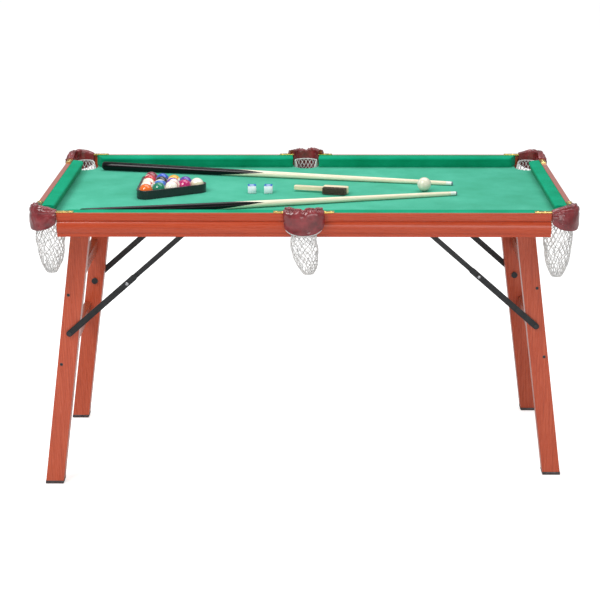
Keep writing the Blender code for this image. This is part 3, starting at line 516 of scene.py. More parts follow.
def add(name, points, faces, look, body, slot=None, stands_for=(), angle=40):
    """A new mesh piece that rides on a body."""
    mesh = bpy.data.meshes.new(name)
    mesh.from_pydata([tuple(p) for p in points], [], faces)
    mesh.validate()
    bm = bmesh.new()
    bm.from_mesh(mesh)
    bmesh.ops.recalc_face_normals(bm, faces=bm.faces)
    bm.to_mesh(mesh)
    bm.free()
    mesh.shade_smooth()
    mesh.set_sharp_from_angle(angle=math.radians(angle))
    mesh.materials.append(looks[look] if isinstance(look, str) else look)
    piece = bpy.data.objects.new(name, mesh)
    bpy.context.scene.collection.objects.link(piece)
    if body:
        settle(piece, body, stands_for)
    return piece


def settle(piece, body, stands_for=()):
    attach(piece, body)
    if stands_for:
        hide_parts(*stands_for)


def grid_faces(rows, columns, around=False, offset=0):
    """Quads of a grid of points kept row by row; around joins the last column to the first."""
    faces = []
    for i in range(rows - 1):
        for j in range(columns if around else columns - 1):
            k = (j + 1) % columns
            a, b = offset + i * columns, offset + (i + 1) * columns
            faces.append((a + j, a + k, b + k, b + j))
    return faces


def capped(rings):
    """(points, faces) of a closed solid through equal rings."""
    count = len(rings[0])
    points = [p for ring in rings for p in ring]
    faces = grid_faces(len(rings), count, True)
    faces.append(tuple(range(count)))
    last = (len(rings) - 1) * count
    faces.append(tuple(range(last, last + count)))
    return points, faces


def tube(line, radius, sides=6, closed=False):
    """(points, faces) of a round cord along a line of Vectors."""
    count = len(line)
    rings = []
    normal = None
    for i, at in enumerate(line):
        before = line[i - 1] if i > 0 or closed else at
        after = line[(i + 1) % count] if i < count - 1 or closed else at
        ahead = (after - before).normalized()
        if normal is None:
            normal = ahead.orthogonal().normalized()
        normal = (normal - ahead * normal.dot(ahead)).normalized()
        other = ahead.cross(normal)
        ring = []
        for j in range(sides):
            turn = 2 * math.pi * j / sides
            ring.append(at + (normal * math.cos(turn) + other * math.sin(turn)) * radius)
        rings.append(ring)
    if closed:
        points = [p for ring in rings for p in ring]
        faces = grid_faces(count, sides, True)
        last = (count - 1) * sides
        for j in range(sides):
            k = (j + 1) % sides
            faces.append((last + j, last + k, k, j))
        return points, faces
    return capped(rings)


def lathe(profile, steps=32):
    """(points, faces) of a solid turned about Z from (radius, height) pairs, whose ends are on the axis."""
    inner = profile[1:-1]
    points = []
    for radius, z in inner:
        for j in range(steps):
            turn = 2 * math.pi * j / steps
            points.append((radius * math.cos(turn), radius * math.sin(turn), z))
    faces = grid_faces(len(inner), steps, True)
    first, last = len(points), len(points) + 1
    points += [(0, 0, profile[0][1]), (0, 0, profile[-1][1])]
    for j in range(steps):
        k = (j + 1) % steps
        faces.append((first, k, j))
        base = (len(inner) - 1) * steps
        faces.append((last, base + j, base + k))
    return points, faces


def joined(parts):
    """(points, faces) of several (points, faces) as one mesh."""
    points, faces = [], []
    for more, quads in parts:
        offset = len(points)
        points += [Vector(p) for p in more]
        faces += [tuple(i + offset for i in f) for f in quads]
    return points, faces


def moved(part, matrix):
    points, faces = part
    return [matrix @ Vector(p) for p in points], faces


def smooth_loop(points, steps):
    """A closed Catmull-Rom curve through tuples of numbers."""
    count = len(points)
    found = []
    for i in range(count):
        a, b, c, d = (points[(i + k) % count] for k in (-1, 0, 1, 2))
        for s in range(steps):
            t = s / steps
            found.append(tuple(spline(w, x, y, z, t) for w, x, y, z in zip(a, b, c, d)))
    return found


def spline(a, b, c, d, t):
    tension = 0.5
    left, right = tension * (c - a), tension * (d - b)
    return (
        (2 * t**3 - 3 * t**2 + 1) * b
        + (t**3 - 2 * t**2 + t) * left
        + (3 * t**2 - 2 * t**3) * c
        + (t**3 - t**2) * right
    )


def bell(x, centre, width):
    return math.exp(-(((x - centre) / width) ** 2))


def arc(x, y, radius, start, end, steps):
    turns = [math.radians(start + (end - start) * i / steps) for i in range(steps + 1)]
    return [(x + radius * math.cos(t), y + radius * math.sin(t)) for t in turns]


# CAD nodes that stay, with finer edges and finishes


def finish_node(name, look, edge=0.0):
    node = nodes[name]
    node.data.materials.clear()
    node.data.materials.append(looks[look])
    weld = node.modifiers.new("Weld", "WELD")
    weld.merge_threshold = 0.00002
    if edge:
        bevel = node.modifiers.new("Edges", "BEVEL")
        bevel.width = edge
        bevel.segments = 2
        bevel.limit_method = "ANGLE"
        bevel.angle_limit = math.radians(38)
    normals = node.modifiers.new("Normals", "WEIGHTED_NORMAL")
    normals.keep_sharp = False


def finish_nodes():
    finish_node("playfield_board", "bare_board", 0.0006)
    for row, _ in ROWS:
        finish_node(f"apron_{row}", "apron_side", 0.0006)
    for column, _ in SIDES:
        finish_node(f"apron_{column}", "apron_end", 0.0006)
        finish_node(f"pivot_beam_{column}", "beam", 0.0010)
        for level in ("upper", "lower"):
            finish_node(f"stretcher_{level}_{column}", "beam", 0.0016)
        for row, _ in ROWS:
            finish_node(f"leg_{row}_{column}", f"leg_{column}", 0.0016)
            finish_node(f"brace_bracket_{row}_{column}", "black_steel", 0.0005)
            finish_node(f"brace_lower_{row}_{column}", "black_steel", 0.0005)
            finish_node(f"brace_upper_{row}_{column}", "black_steel", 0.0005)
    for row, _ in ROWS:
        for column in ("left", "middle", "right"):
            finish_node(f"pocket_iron_{row}_{column}", "brass", 0.0006)
    finish_node("rack_triangle", "black_plastic", 0.0010)


# Bed cloth and cushions


def bed_outline():
    """(points, True where the edge is at a pocket) of the bed seen from above."""
    quarter = [(BED_HALF_LENGTH, CORNER_Y - HOLE_RADIUS)]
    quarter += arc(CORNER_X, CORNER_Y, HOLE_RADIUS, -90, -180, 24)
    quarter.append((CORNER_X - HOLE_RADIUS, BED_HALF_WIDTH))
    rise = BED_HALF_WIDTH - MIDDLE_HOLE_Y
    lift = math.degrees(math.atan2(rise, math.sqrt(HOLE_RADIUS**2 - rise**2)))
    middle = arc(0, MIDDLE_HOLE_Y, HOLE_RADIUS, lift, -180 - lift, 30)
    back = [quarter, middle, [(-x, y) for x, y in reversed(quarter)]]
    return back + [[(-x, -y) for x, y in line] for line in back]


def make_bed_cloth():
    """The cloth laid tight over the board, and turned down over the board's edge at the six pockets."""
    arcs = bed_outline()
    outline = [p for line in arcs for p in line]
    points = [Vector((x, y, BED_TOP)) for x, y in outline]
    faces = [tuple(range(len(points)))]
    centres = [(CORNER_X, CORNER_Y), (0, MIDDLE_HOLE_Y), (-CORNER_X, CORNER_Y)]
    centres += [(-x, -y) for x, y in centres]
    fold = 0.0015
    at = 0
    for line, (cx, cy) in zip(arcs, centres):
        rows = []
        for step in (1, 2, 3, 6):
            turn = math.radians(min(step, 3) * 30)
            inwards = fold * math.sin(turn)
            drop = fold * (1 - math.cos(turn)) + (0.009 if step == 6 else 0)
            row = []
            for j, (x, y) in enumerate(line):
                before_x, before_y = line[max(0, j - 1)]
                after_x, after_y = line[min(len(line) - 1, j + 1)]
                away = Vector((after_y - before_y, before_x - after_x)).normalized()
                if away.dot(Vector((cx - x, cy - y))) < 0:
                    away = -away
                away *= inwards
                ripple = 0.0003 * math.sin(60 * (x + y)) if step == 6 else 0
                row.append(len(points))
                points.append(Vector((x + away.x, y + away.y, BED_TOP - drop + ripple)))
            rows.append(row)
        before = list(range(at, at + len(line)))
        for row in rows:
            for j in range(len(line) - 1):
                faces.append((before[j], before[j + 1], row[j + 1], row[j]))
            before = row
        at += len(line)
    cloth = add("felt_bed", points, faces, "green_cloth", None, angle=30)
    thick = cloth.modifiers.new("Thickness", "SOLIDIFY")
    thick.thickness = 0.0012
    thick.offset = -1
    settle(cloth, "table", ["bed_cloth"])


# The cushion's rounded nose: (distance back from its tip, height)
NOSE_ROUND = (
    (0.0060, 0.77085),
    (0.0032, 0.7703),
    (0.0012, 0.7691),
    (0.0002, 0.7672),
    (0.0000, 0.7655),
    (0.0004, 0.7638),
    (0.0016, 0.7620),
)
# Each cushion's ends, as (place at the nose, place at the back)
SIDE_RAIL_INNER_END = (0.036, 0.0412)
SIDE_RAIL_OUTER_END = (0.5985, 0.6155)
END_RAIL_END = (0.2745, 0.2865)


def rail_profile(nose, outer, pull):
    """(distance from the table's middle, height) round a rail whose nose is drawn back by pull."""
    bottom = BED_TOP + GAP
    nose = nose + pull
    back = nose + NOSE_UNDERCUT
    flat_end = nose + 0.010
    top = []
    for t in (0.03, 0.25, 0.5, 0.75, 1):
        top.append((outer + (flat_end - outer) * t, RAIL_TOP + 0.0004 * math.sin(math.pi * t)))
    round_nose = [(nose + out, z) for out, z in NOSE_ROUND]
    face_start, face_top = round_nose[-1]
    face = []
    for t in (0.33, 0.66, 1):
        face.append((face_start + (back - face_start) * t, face_top + (bottom - face_top) * t))
    return [(outer, RAIL_TOP - 0.0012)] + top + round_nose + face + [(outer, bottom)]


def cushion(name, nose, outer, start, end, along_x, sign):
    """A cloth-covered rubber rail. start and end are (place at the nose, place at the back)."""
    steps = 96
    rounding = 0.0065
    rings = []
    for i in range(steps + 1):
        share = i / steps
        ends = share if share < 0.5 else 1 - share
        ends = ends**2 * 2 if ends < 0.5 else ends
        share = ends if i < steps / 2 else 1 - ends
        length = abs(end[0] - start[0])
        near = min(share, 1 - share) * length
        pull = 0.0
        if near < rounding:
            pull = rounding - math.sqrt(max(0.0, rounding**2 - (rounding - near) ** 2))
        ring = []
        profile = rail_profile(nose, outer, pull)
        for k, (across, z) in enumerate(profile):
            depth = (across - nose) / (outer - nose)
            first = start[0] + (start[1] - start[0]) * depth
            last = end[0] + (end[1] - end[0]) * depth
            at = first + (last - first) * share
            if 1 < k < 10:
                z += 0.00016 * noise.noise(Vector((at * 26, across * 40, sign * 3.1)))
                across += 0.00018 * noise.noise(Vector((at * 17, z * 60, sign * 7.7)))
            ring.append((at, sign * across, z) if along_x else (sign * across, at, z))
        rings.append(ring)
    # The cushion gets the darker copy of the bed cloth, whose darkness is painted shade
    piece = add("felt_" + name, *capped(rings), "rail_cloth", "table", "green_cloth", [name], 32)


def make_cushions():
    for row, y_side in ROWS:
        for column, x_side in SIDES:
            start = [x_side * place for place in SIDE_RAIL_INNER_END]
            end = [x_side * place for place in SIDE_RAIL_OUTER_END]
            cushion(f"cushion_{row}_{column}", SIDE_NOSE, BED_HALF_WIDTH, start, end, True, y_side)
    start = [-place for place in END_RAIL_END]
    for column, x_side in SIDES:
        cushion(f"cushion_{column}", END_NOSE, BED_HALF_LENGTH, start, END_RAIL_END, False, x_side)


# Pocket leathers


def leather_section(top, bottom):
    """(distance outwards from the iron's line, height): two skirts and a roll over the iron."""
    under = IRON_TOP + GAP
    half = IRON_WIDTH / 2
    inner = half + 0.0003
    lip = inner + 0.0012
    drop = top - bottom
    return [
        (-inner, LEATHER_INNER_BOTTOM),
        (-lip, LEATHER_INNER_BOTTOM),
        (-lip, under),
        (-half, top - 0.0012),
        (0.0, top),
        (half, top - 0.0008),
        (half + 0.0070, top - 0.15 * drop),
        (half + 0.0085, top - 0.40 * drop),
        (half + 0.0085, top - 0.75 * drop),
        (half + 0.0065, bottom),
        (half + 0.0035, bottom),
        (half + 0.0010, top - 0.75 * drop),
        (half + 0.0010, under),
        (-inner, under),
    ]


# How many points each side of the section gets; the sides hidden on the iron stay straight
SECTION_SPANS = [1, 5, 6, 6, 6, 8, 9, 9, 7, 2, 4, 4, 3, 3]
OUTER_SKIN = (6, 56)


def fine_section(points):
    """The section's points with smooth curves over the skin and straight lines round the iron."""
    count = len(points)
    found = []
    for i, steps in enumerate(SECTION_SPANS):
        a, b, c, d = (points[(i + k) % count] for k in (-1, 0, 1, 2))
        for s in range(steps):
            t = s / steps
            if 2 <= i <= 8:
                found.append(tuple(spline(w, x, y, z, t) for w, x, y, z in zip(a, b, c, d)))
            else:
                found.append(tuple(x + (y - x) * t for x, y in zip(b, c)))
    return found


def wrinkled(rings, shape):
    """The rings with their outer skin pushed in and out by shape(share along, share round, seed)."""
    rows, count = len(rings), len(rings[0])
    outs = []
    for i, ring in enumerate(rings):
        before, after = rings[max(0, i - 1)], rings[min(rows - 1, i + 1)]
        out = []
        for j in range(count):
            onwards = after[j] - before[j]
            round_it = ring[(j + 1) % count] - ring[j - 1]
            out.append(onwards.cross(round_it).normalized())
        outs.append(out)
    middle_ring = rings[rows // 2]
    core = sum(middle_ring, Vector()) / count
    votes = sum(outs[rows // 2][j].dot(middle_ring[j] - core) for j in range(*OUTER_SKIN))
    turn = 1 if votes > 0 else -1
    found = []
    for i, ring in enumerate(rings):
        s = i / (rows - 1)
        line = []
        for j, p in enumerate(ring):
            v = (j - OUTER_SKIN[0]) / (OUTER_SKIN[1] - OUTER_SKIN[0])
            fade = min(1.0, v / 0.08, (1 - v) / 0.06) if 0 < v < 1 else 0.0
            line.append(p + outs[i][j] * turn * shape(s, v) * fade if fade > 0 else p)
        found.append(line)
    return found


def leather_piece(name, rings, shape):
    rings = wrinkled(rings, shape)
    look = slot = "pocket_leather"
    piece = add("leather_" + name, *capped(rings), look, "table", slot, [look + "_" + name], 75)
    finer = piece.modifiers.new("Smooth", "SUBSURF")
    finer.levels = 1
    finer.render_levels = 1


# Where the corner leather starts on the side rail and ends on the end rail
CORNER_LEATHER_X = 0.6239
CORNER_LEATHER_Y = 0.2898
# The folds along a corner leather: (share round the roll, width, depth)
CORNER_FOLDS = (
    (0.16, 0.030, 0.0026),
    (0.31, 0.026, 0.0030),
    (0.47, 0.032, 0.0028),
    (0.66, 0.040, 0.0018),
)


def corner_spot(run):
    """(x, y, outward x, outward y) of the corner iron's line, run metres on from the side apron's end."""
    side_run = CORNER_X - CORNER_LEATHER_X
    turn_run = math.pi / 2 * IRON_RADIUS
    if run < side_run:
        return CORNER_LEATHER_X + run, CORNER_Y + IRON_RADIUS, 0.0, 1.0
    if run > side_run + turn_run:
        return CORNER_X + IRON_RADIUS, CORNER_Y - (run - side_run - turn_run), 1.0, 0.0
    turn = math.pi / 2 * (1 - (run - side_run) / turn_run)
    out_x, out_y = math.cos(turn), math.sin(turn)
    return CORNER_X + IRON_RADIUS * out_x, CORNER_Y + IRON_RADIUS * out_y, out_x, out_y


def corner_leather(row, column, x_side, y_side, seed):
    """A roll round the corner with folds along it and a skirt that hangs fullest at the corner."""
    stations = 72
    total = CORNER_X - CORNER_LEATHER_X + math.pi / 2 * IRON_RADIUS + CORNER_Y - CORNER_LEATHER_Y
    rings = []
    for i in range(stations + 1):
        share = i / stations
        swell = max(0.0, math.sin(math.pi * share))
        top = LEATHER_END_TOP + (LEATHER_TOP - LEATHER_END_TOP) * swell**0.8
        top += 0.0016 * bell(share, 0.66, 0.12) - 0.0020 * bell(share, 0.48, 0.05)
        bottom = LEATHER_END_BOTTOM - (LEATHER_END_BOTTOM - LEATHER_BOTTOM) * swell**0.6
        x, y, out_x, out_y = corner_spot(total * share)
        ring = []
        for out, z in fine_section(leather_section(top, bottom)):
            ring.append(Vector((x_side * (x + out * out_x), y_side * (y + out * out_y), z)))
        rings.append(ring)

    def shape(s, v):
        sway = 0.09 * noise.noise(Vector((s * 3.0, v * 1.5, seed))) + 0.05 * math.sin(5 * s + seed)
        folds = 0.0
        for at, width, depth in CORNER_FOLDS:
            strong = 0.6 + 0.9 * noise.noise(Vector((s * 3.5, at * 9, seed + 4)))
            folds -= depth * strong * bell(v + sway, at, width)
        plump = 0.0022 * noise.noise(Vector((s * 7, v * 4, seed + 20)))
        crease = 0.0009 * noise.noise(Vector((s * 24, v * 11, seed + 31)))
        return folds + plump + crease

    leather_piece(f"{row}_{column}", rings, shape)


def shield_bottom(sweep):
    """The height of the middle leather's lower edge: sweep is 0 at its ends and 1 in the middle."""
    return MIDDLE_LEATHER_END_BOTTOM - (MIDDLE_LEATHER_END_BOTTOM - MIDDLE_LEATHER_BOTTOM) * sweep**0.8


def middle_leather(row, y_side, seed):
    """A roll with two humps along the iron's bulge, gathered above a smooth shield in front of the apron."""
    inner = (0.0465, 0.3748, 0.0185)
    outer = (0.0500, 0.3788, 0.0205)
    base = CORNER_Y + IRON_RADIUS
    radius = (MIDDLE_HALF_CHORD**2 + MIDDLE_BULGE**2) / (2 * MIDDLE_BULGE)
    centre_y = base + MIDDLE_BULGE - radius
    reach = math.degrees(math.asin(MIDDLE_HALF_CHORD / radius))
    stations = 72
    line = arc(0, centre_y, radius, 90 + reach, 90 - reach, stations)
    beside = arc(0, centre_y, radius + 1, 90 + reach, 90 - reach, stations)
    rings = []
    for i, (x, y) in enumerate(line):
        share = i / stations
        out_x, out_y = beside[i][0] - x, beside[i][1] - y
        angle = math.pi * (1 - share)
        sweep = max(0.0, math.sin(angle))
        bottom = shield_bottom(sweep)
        top = MIDDLE_LEATHER_TOP - 0.0006 * bell(share, 0.28, 0.14)
        top += 0.0024 * bell(share, 0.66, 0.12) - 0.0050 * bell(share, 0.50, 0.05)
        controls = []
        for k, (out, z) in enumerate(leather_section(top, bottom)):
            if 6 <= k <= 12:
                half_x, base_y, bulge = outer if k < 10 else inner
                controls.append((half_x * math.cos(angle), base_y + bulge * sweep, z))
            else:
                controls.append((x + out * out_x, y + out * out_y, z))
        ring = []
        for px, py, z in fine_section(controls):
            if px > 0:
                px += 0.0030 * bell(z, 0.752, 0.014) * min(1, px / 0.03)
            ring.append(Vector((px, y_side * py, z)))
        rings.append(ring)

    def shape(s, v):
        arch = 0.44 - 0.10 * math.sin(math.pi * s) + 0.03 * noise.noise(Vector((s * 6, 0, seed)))
        gather = bell(v, arch, 0.10)
        pleats = math.sin(2 * math.pi * 13 * s + 3.0 * noise.noise(Vector((s * 5, v * 2, seed + 3))))
        push = -0.0050 * bell(v, arch, 0.030) + 0.0026 * gather * pleats
        lumps = 0.0030 * noise.noise(Vector((s * 8, v * 6, seed + 20))) * (1.0 if v < arch else 0.35)
        crease = 0.0006 * noise.noise(Vector((s * 22, v * 12, seed + 31)))
        belly = 0.0030 * bell(v, 0.66, 0.15)
        return push + lumps + crease + belly

    leather_piece(f"{row}_middle", rings, shape)


def make_leathers():
    seed = 1.0
    for row, y_side in ROWS:
        for column, x_side in SIDES:
            corner_leather(row, column, x_side, y_side, seed)
            seed += 5.3
        middle_leather(row, y_side, seed)
        seed += 5.3


# Nets


NET_BOTTOMS = {
    "front_left": 0.602,
    "front_middle": 0.611,
    "front_right": 0.592,
    "back_left": 0.600,
    "back_middle": 0.603,
    "back_right": 0.598,
}
CORNER_NET = [
    (NET_TOP, CORNER_X, CORNER_Y, 0.0290, 0.0290),
    (BED_TOP, CORNER_X, CORNER_Y, 0.0315, 0.0315),
    (0.715, CORNER_X, CORNER_Y, 0.0375, 0.0350),
    (0.690, CORNER_X, CORNER_Y, 0.0375, 0.0355),
    (0.655, CORNER_X, CORNER_Y, 0.0335, 0.0325),
    (0.630, CORNER_X, CORNER_Y, 0.0275, 0.0265),
    (0.610, CORNER_X, CORNER_Y, 0.0190, 0.0185),
    (NET_FULL_BOTTOM, CORNER_X, CORNER_Y, 0.0110, 0.0110),
]
MIDDLE_NET = [
    (NET_TOP, 0, 0.3500, 0.0335, 0.0265),
    (BED_TOP, 0, 0.3520, 0.0335, 0.0285),
    (0.7240, 0, 0.3670, 0.0325, 0.0240),
    (0.7195, 0, 0.3840, 0.0325, 0.0084),
    (0.7100, 0.000, 0.3842, 0.0330, 0.0086),
    (0.680, 0.002, 0.3770, 0.0355, 0.0215),
    (0.650, 0.005, 0.3755, 0.0325, 0.0235),
    (0.625, 0.009, 0.3750, 0.0265, 0.0210),
    (0.608, 0.011, 0.3750, 0.0190, 0.0160),
    (NET_FULL_BOTTOM, 0.012, 0.3750, 0.0100, 0.0100),
]
CORD_RADIUS = 0.00105
KNOT_RADIUS = 0.0017
RIM_RADIUS = 0.0014
RIM_DROP = 0.026
SHIELD_RIM_RADIUS = 0.0016


def net_height(z, bottom):
    """A height of the longest bag, moved up for one that ends at bottom."""
    if z >= NET_NECK:
        return z
    return NET_NECK + (z - NET_NECK) * (NET_NECK - bottom) / (NET_NECK - NET_FULL_BOTTOM)


def station_at(stations, z):
    """The net's (centre x, centre y, half width, half depth) at a height."""
    for upper, lower in zip(stations, stations[1:]):
        if z >= lower[0]:
            t = (upper[0] - z) / (upper[0] - lower[0])
            return [a + (b - a) * t for a, b in zip(upper[1:], lower[1:])]
    return list(stations[-1][1:])


def knot():
    """(points, faces) of a small rounded knot about the origin."""
    bm = bmesh.new()
    bmesh.ops.create_icosphere(bm, subdivisions=1, radius=KNOT_RADIUS)
    points = [v.co.copy() for v in bm.verts]
    faces = [tuple(v.index for v in f.verts) for f in bm.faces]
    bm.free()
    return points, faces


def make_net(name, stations, x_side, y_side, seed, columns=18, rows=14):
    """A bag of knotted cord: long diamonds from a cord rim to a gathered foot.

    The rim is high on the iron's side, under the leather, and low on the table's side, under the bed cloth.
    """
    top, floor = stations[0][0], stations[-1][0]
    middle_pocket = stations[0][1] < 0.1
    inwards = Vector((0, -1)) if middle_pocket else Vector((-1, -1)).normalized()

    def rim_drop(turn):
        facing = Vector((math.cos(turn), math.sin(turn))).dot(inwards)
        share = max(0.0, min(1.0, (facing - 0.30) / 0.45))
        return RIM_DROP * share * share * (3 - 2 * share)

    def at(level, column, snug=0.0):
        share = level / rows
        turn = 2 * math.pi * (column + 0.5 * (level % 2)) / columns
        start = top - rim_drop(turn)
        z = start + (floor + 0.005 - start) * share
        loose = min(1.0, share * 2.5) if level < rows else 0.3
        spot = Vector((share * 5, math.cos(turn) * 1.7, math.sin(turn) * 1.7 + seed))
        z += 0.005 * loose * (noise.noise(spot * 1.7) - 0.1) if level < rows else 0
        x, y, half_x, half_y = station_at(stations, z)
        swell = 1 + 0.10 * loose * noise.noise(spot)
        turn += 0.16 * loose * noise.noise(spot * 2.3)
        sag = CORD_RADIUS * 1.2 + snug
        x += (half_x - sag) * swell * math.cos(turn)
        y += (half_y - sag) * swell * math.sin(turn)
        return Vector((x_side * x, y_side * y, z))

    parts = []
    shape = knot()
    for level in range(rows):
        for column in range(columns):
            first = at(level, column)
            for step in (0, -1) if level % 2 == 0 else (0, 1):
                last = at(level + 1, column + step)
                centre = station_at(stations, (first.z + last.z) / 2)
                line = [first]
                for t in (0.25, 0.5, 0.75):
                    spot = first.lerp(last, t)
                    away = Vector((spot.x - x_side * centre[0], spot.y - y_side * centre[1], 0)).normalized()
                    wobble = noise.noise(spot * 90) * 0.0008
                    line.append(spot + away * (0.0010 * math.sin(math.pi * t) + wobble))
                line.append(last)
                parts.append(tube(line, CORD_RADIUS, 5))
            parts.append(moved(shape, Matrix.Translation(first) @ Matrix.Diagonal((1, 1, 1.35, 1))))
    for column in range(columns):
        parts.append(moved(shape, Matrix.Translation(at(rows, column))))
    foot = station_at(stations, floor)
    gather = Vector((x_side * foot[0], y_side * foot[1], floor + 0.0045))
    for column in range(columns):
        last = at(rows, column)
        parts.append(tube([last, last.lerp(gather, 0.5) - Vector((0, 0, 0.0014)), gather], CORD_RADIUS, 5))
    parts.append(moved(shape, Matrix.Translation(gather) @ Matrix.Scale(2.0, 4)))
    rim = []
    for j in range(60):
        turn = 2 * math.pi * j / 60
        z = top - rim_drop(turn)
        x, y, half_x, half_y = station_at(stations, z)
        x += (half_x - RIM_RADIUS) * math.cos(turn)
        y += (half_y - RIM_RADIUS) * math.sin(turn)
        rim.append(Vector((x_side * x, y_side * y, z)))
    parts.append(tube(rim, RIM_RADIUS, 8, True))
    if middle_pocket:
        parts.append(tube(shield_rim(y_side), SHIELD_RIM_RADIUS, 8))
    add("net_" + name, *joined(parts), "net_cord", "table", "net_cord", ["pocket_net_" + name], 60)


def shield_rim(y_side):
    """The white cord that edges a middle net along its shield's lower edge."""
    line = []
    for i in range(33):
        angle = math.radians(158 - 136 * i / 32)
        sweep = math.sin(angle)
        z = shield_bottom(sweep)
        line.append(Vector((0.0475 * math.cos(angle), y_side * (0.3762 + 0.0195 * sweep), z - 0.0021)))
    return line


def make_nets():
    seed = 3.0
    for name, bottom in NET_BOTTOMS.items():
        row, column = name.split("_")
        whole = MIDDLE_NET if column == "middle" else CORNER_NET
        stations = [(net_height(z, bottom), *rest) for z, *rest in whole]
        make_net(name, stations, -1 if column == "left" else 1, -1 if row == "front" else 1, seed)
        seed += 4.1


# Fixings


def screw_head(radius, height):
    """(points, faces) of a domed screw head with a round recess, standing on the XY plane."""
    dome = ((0, 0), (1, 0), (1, 0.25), (0.86, 0.7), (0.5, 0.95), (0.34, 1), (0.30, 0.55), (0, 0.35))
    return lathe([(radius * out, height * up) for out, up in dome], 20)


def iron_screws(name, spots):
    head = screw_head(0.0031, 0.0011)
    parts = [moved(head, Matrix.Translation((x, y, IRON_TOP))) for x, y in spots]
    add(f"iron_screws_{name}", *joined(parts), "brass", "table", "brass")


def make_iron_screws():
    for row, y_side in ROWS:
        for column, x_side in SIDES:
            spots = [(0.5895, CORNER_Y + IRON_RADIUS), (0.6075, CORNER_Y + IRON_RADIUS)]
            spots += [(CORNER_X + IRON_RADIUS, 0.2530), (CORNER_X + IRON_RADIUS, 0.2720)]
            iron_screws(f"{row}_{column}", [(x_side * x, y_side * y) for x, y in spots])
        spots = [(x, y_side * (CORNER_Y + IRON_RADIUS)) for x in (-0.0690, -0.0540, 0.0540, 0.0690)]
        iron_screws(f"{row}_middle", spots)


def make_leg_fixings():
    """Foot caps, the screws on the legs' outer faces, and the braces' bright rivets."""
    for column, (side, front_face, back_face) in LEG_FRAMES.items():
        lean = Matrix.Translation((side * PIVOT_X, 0, PIVOT_Z)) @ Matrix.Rotation(-side * SPLAY, 4, "Y")
        for row, face, inward in (("front", front_face, 1), ("back", back_face, -1)):
            foot_cap(f"foot_cap_{row}_{column}", side, face, inward, column)
            parts = []
            for drop in (0.167, 0.360):
                spot = lean @ Matrix.Translation((side * 0.0135, face, -drop))
                head = moved(screw_head(0.0042, 0.0010), Matrix.Rotation(inward * math.pi / 2, 4, "X"))
                parts.append(moved(head, spot))
            frame_body = f"leg_frame_{column}"
            add(f"leg_screws_{row}_{column}", *joined(parts), "black_steel", frame_body, "black_steel")
            link_face = face - inward * (LINK_STACK + 0.0021)
            head = moved(screw_head(0.0046, 0.0016), Matrix.Rotation(inward * math.pi / 2, 4, "X"))
            rivet = moved(head, Matrix.Translation((side * BRACE_MIDDLE_X, link_face, BRACE_MIDDLE_Z)))
            link_body = f"brace_lower_{row}_{column}"
            add(f"brace_rivet_{row}_{column}", *rivet, "silver", link_body, "black_steel")


def rounded_square(half_x, half_y, rounding):
    """The corner points of a rectangle with blunt corners; the half sizes are to the corners' centres."""
    found = []
    for sx, sy in ((-1, -1), (1, -1), (1, 1), (-1, 1)):
        for bend in (-30, 30):
            way = math.radians(math.degrees(math.atan2(sy, sx)) + bend)
            found.append((sx * half_x + rounding * math.cos(way), sy * half_y + rounding * math.sin(way)))
    return found


def foot_cap(name, side, face, inward, column):
    """A thin dark cap on the foot, cut level with the floor and leaning with the leg."""
    low, high = 0.0001, 0.0085
    proud = 0.0008
    rounding = 0.002
    centre = face + inward * LEG_DEPTH / 2
    half_y = LEG_DEPTH / 2 + proud
    half_x = (LEG_WIDTH / 2 + proud) / math.cos(SPLAY)
    rings = []
    for z, tighter in ((low, 0.0008), (low + 0.0012, 0.0), (high - 0.0006, 0.0), (high, 0.0005)):
        middle = side * (PIVOT_X + (PIVOT_Z - z) * math.tan(SPLAY))
        corners = rounded_square(half_x - tighter - rounding, half_y - tighter - rounding, rounding)
        rings.append([Vector((middle + x, centre + y, z)) for x, y in corners])
    add(name, *capped(rings), "rubber", f"leg_frame_{column}", "black_plastic")


# Playing set


def make_ball(name, centre, look, turn, body, stands_for=()):
    bm = bmesh.new()
    bmesh.ops.create_uvsphere(bm, u_segments=48, v_segments=32, radius=BALL_RADIUS)
    points = [v.co.copy() for v in bm.verts]
    faces = [tuple(v.index for v in f.verts) for f in bm.faces]
    bm.free()
    piece = add(name, points, faces, look, None)
    piece.location = centre
    piece.rotation_euler = turn
    settle(piece, body, stands_for)


# The racked balls from the apex on: (colour, True where it is a band)
RACKED = [
    ((232, 226, 190), True),
    ((196, 20, 110), False),
    ((92, 54, 168), False),
    ((204, 44, 46), True),
    ((120, 60, 170), True),
    ((240, 176, 40), True),
    ((0, 128, 96), False),
    ((58, 120, 210), True),
    ((24, 24, 28), False),
    ((40, 92, 206), False),
    ((244, 112, 24), False),
    ((222, 58, 34), True),
    ((236, 124, 50), True),
    ((206, 34, 50), False),
    ((150, 36, 62), True),
]


def make_racked_balls():
    low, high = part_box("racked_balls")
    middle_y = (low.y + high.y) / 2
    pitch = 2 * BALL_RADIUS + GAP
    step = pitch * math.sqrt(3) / 2
    apex = high.x - BALL_RADIUS
    index = 0
    for row in range(5):
        for i in range(row + 1):
            tint, striped = RACKED[index]
            look = ball_look(f"ball_resin_{index + 1}", rgb(*tint), striped)
            centre = (apex - row * step, middle_y + (i - row / 2) * pitch, BED_TOP + GAP + BALL_RADIUS)
            turn = (0.35 * index, 0.25 * math.sin(index), 0.45 * math.sin(2.1 * index))
            stands_for = ["racked_balls"] if index == 0 else ()
            make_ball(f"ball_{index + 1:02d}", centre, look, turn, "racked_balls", stands_for)
            index += 1
    low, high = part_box("cue_ball")
    look = ball_look("cue_ball_resin", rgb(244, 238, 216), False)
    turn = (0.3, 0.5, 0.2)
    make_ball("ball_white", (low + high) / 2, look, turn, "cue_ball", ["cue_ball"])


BUTT_RADIUS = 0.0122
TIP_RADIUS = 0.0052


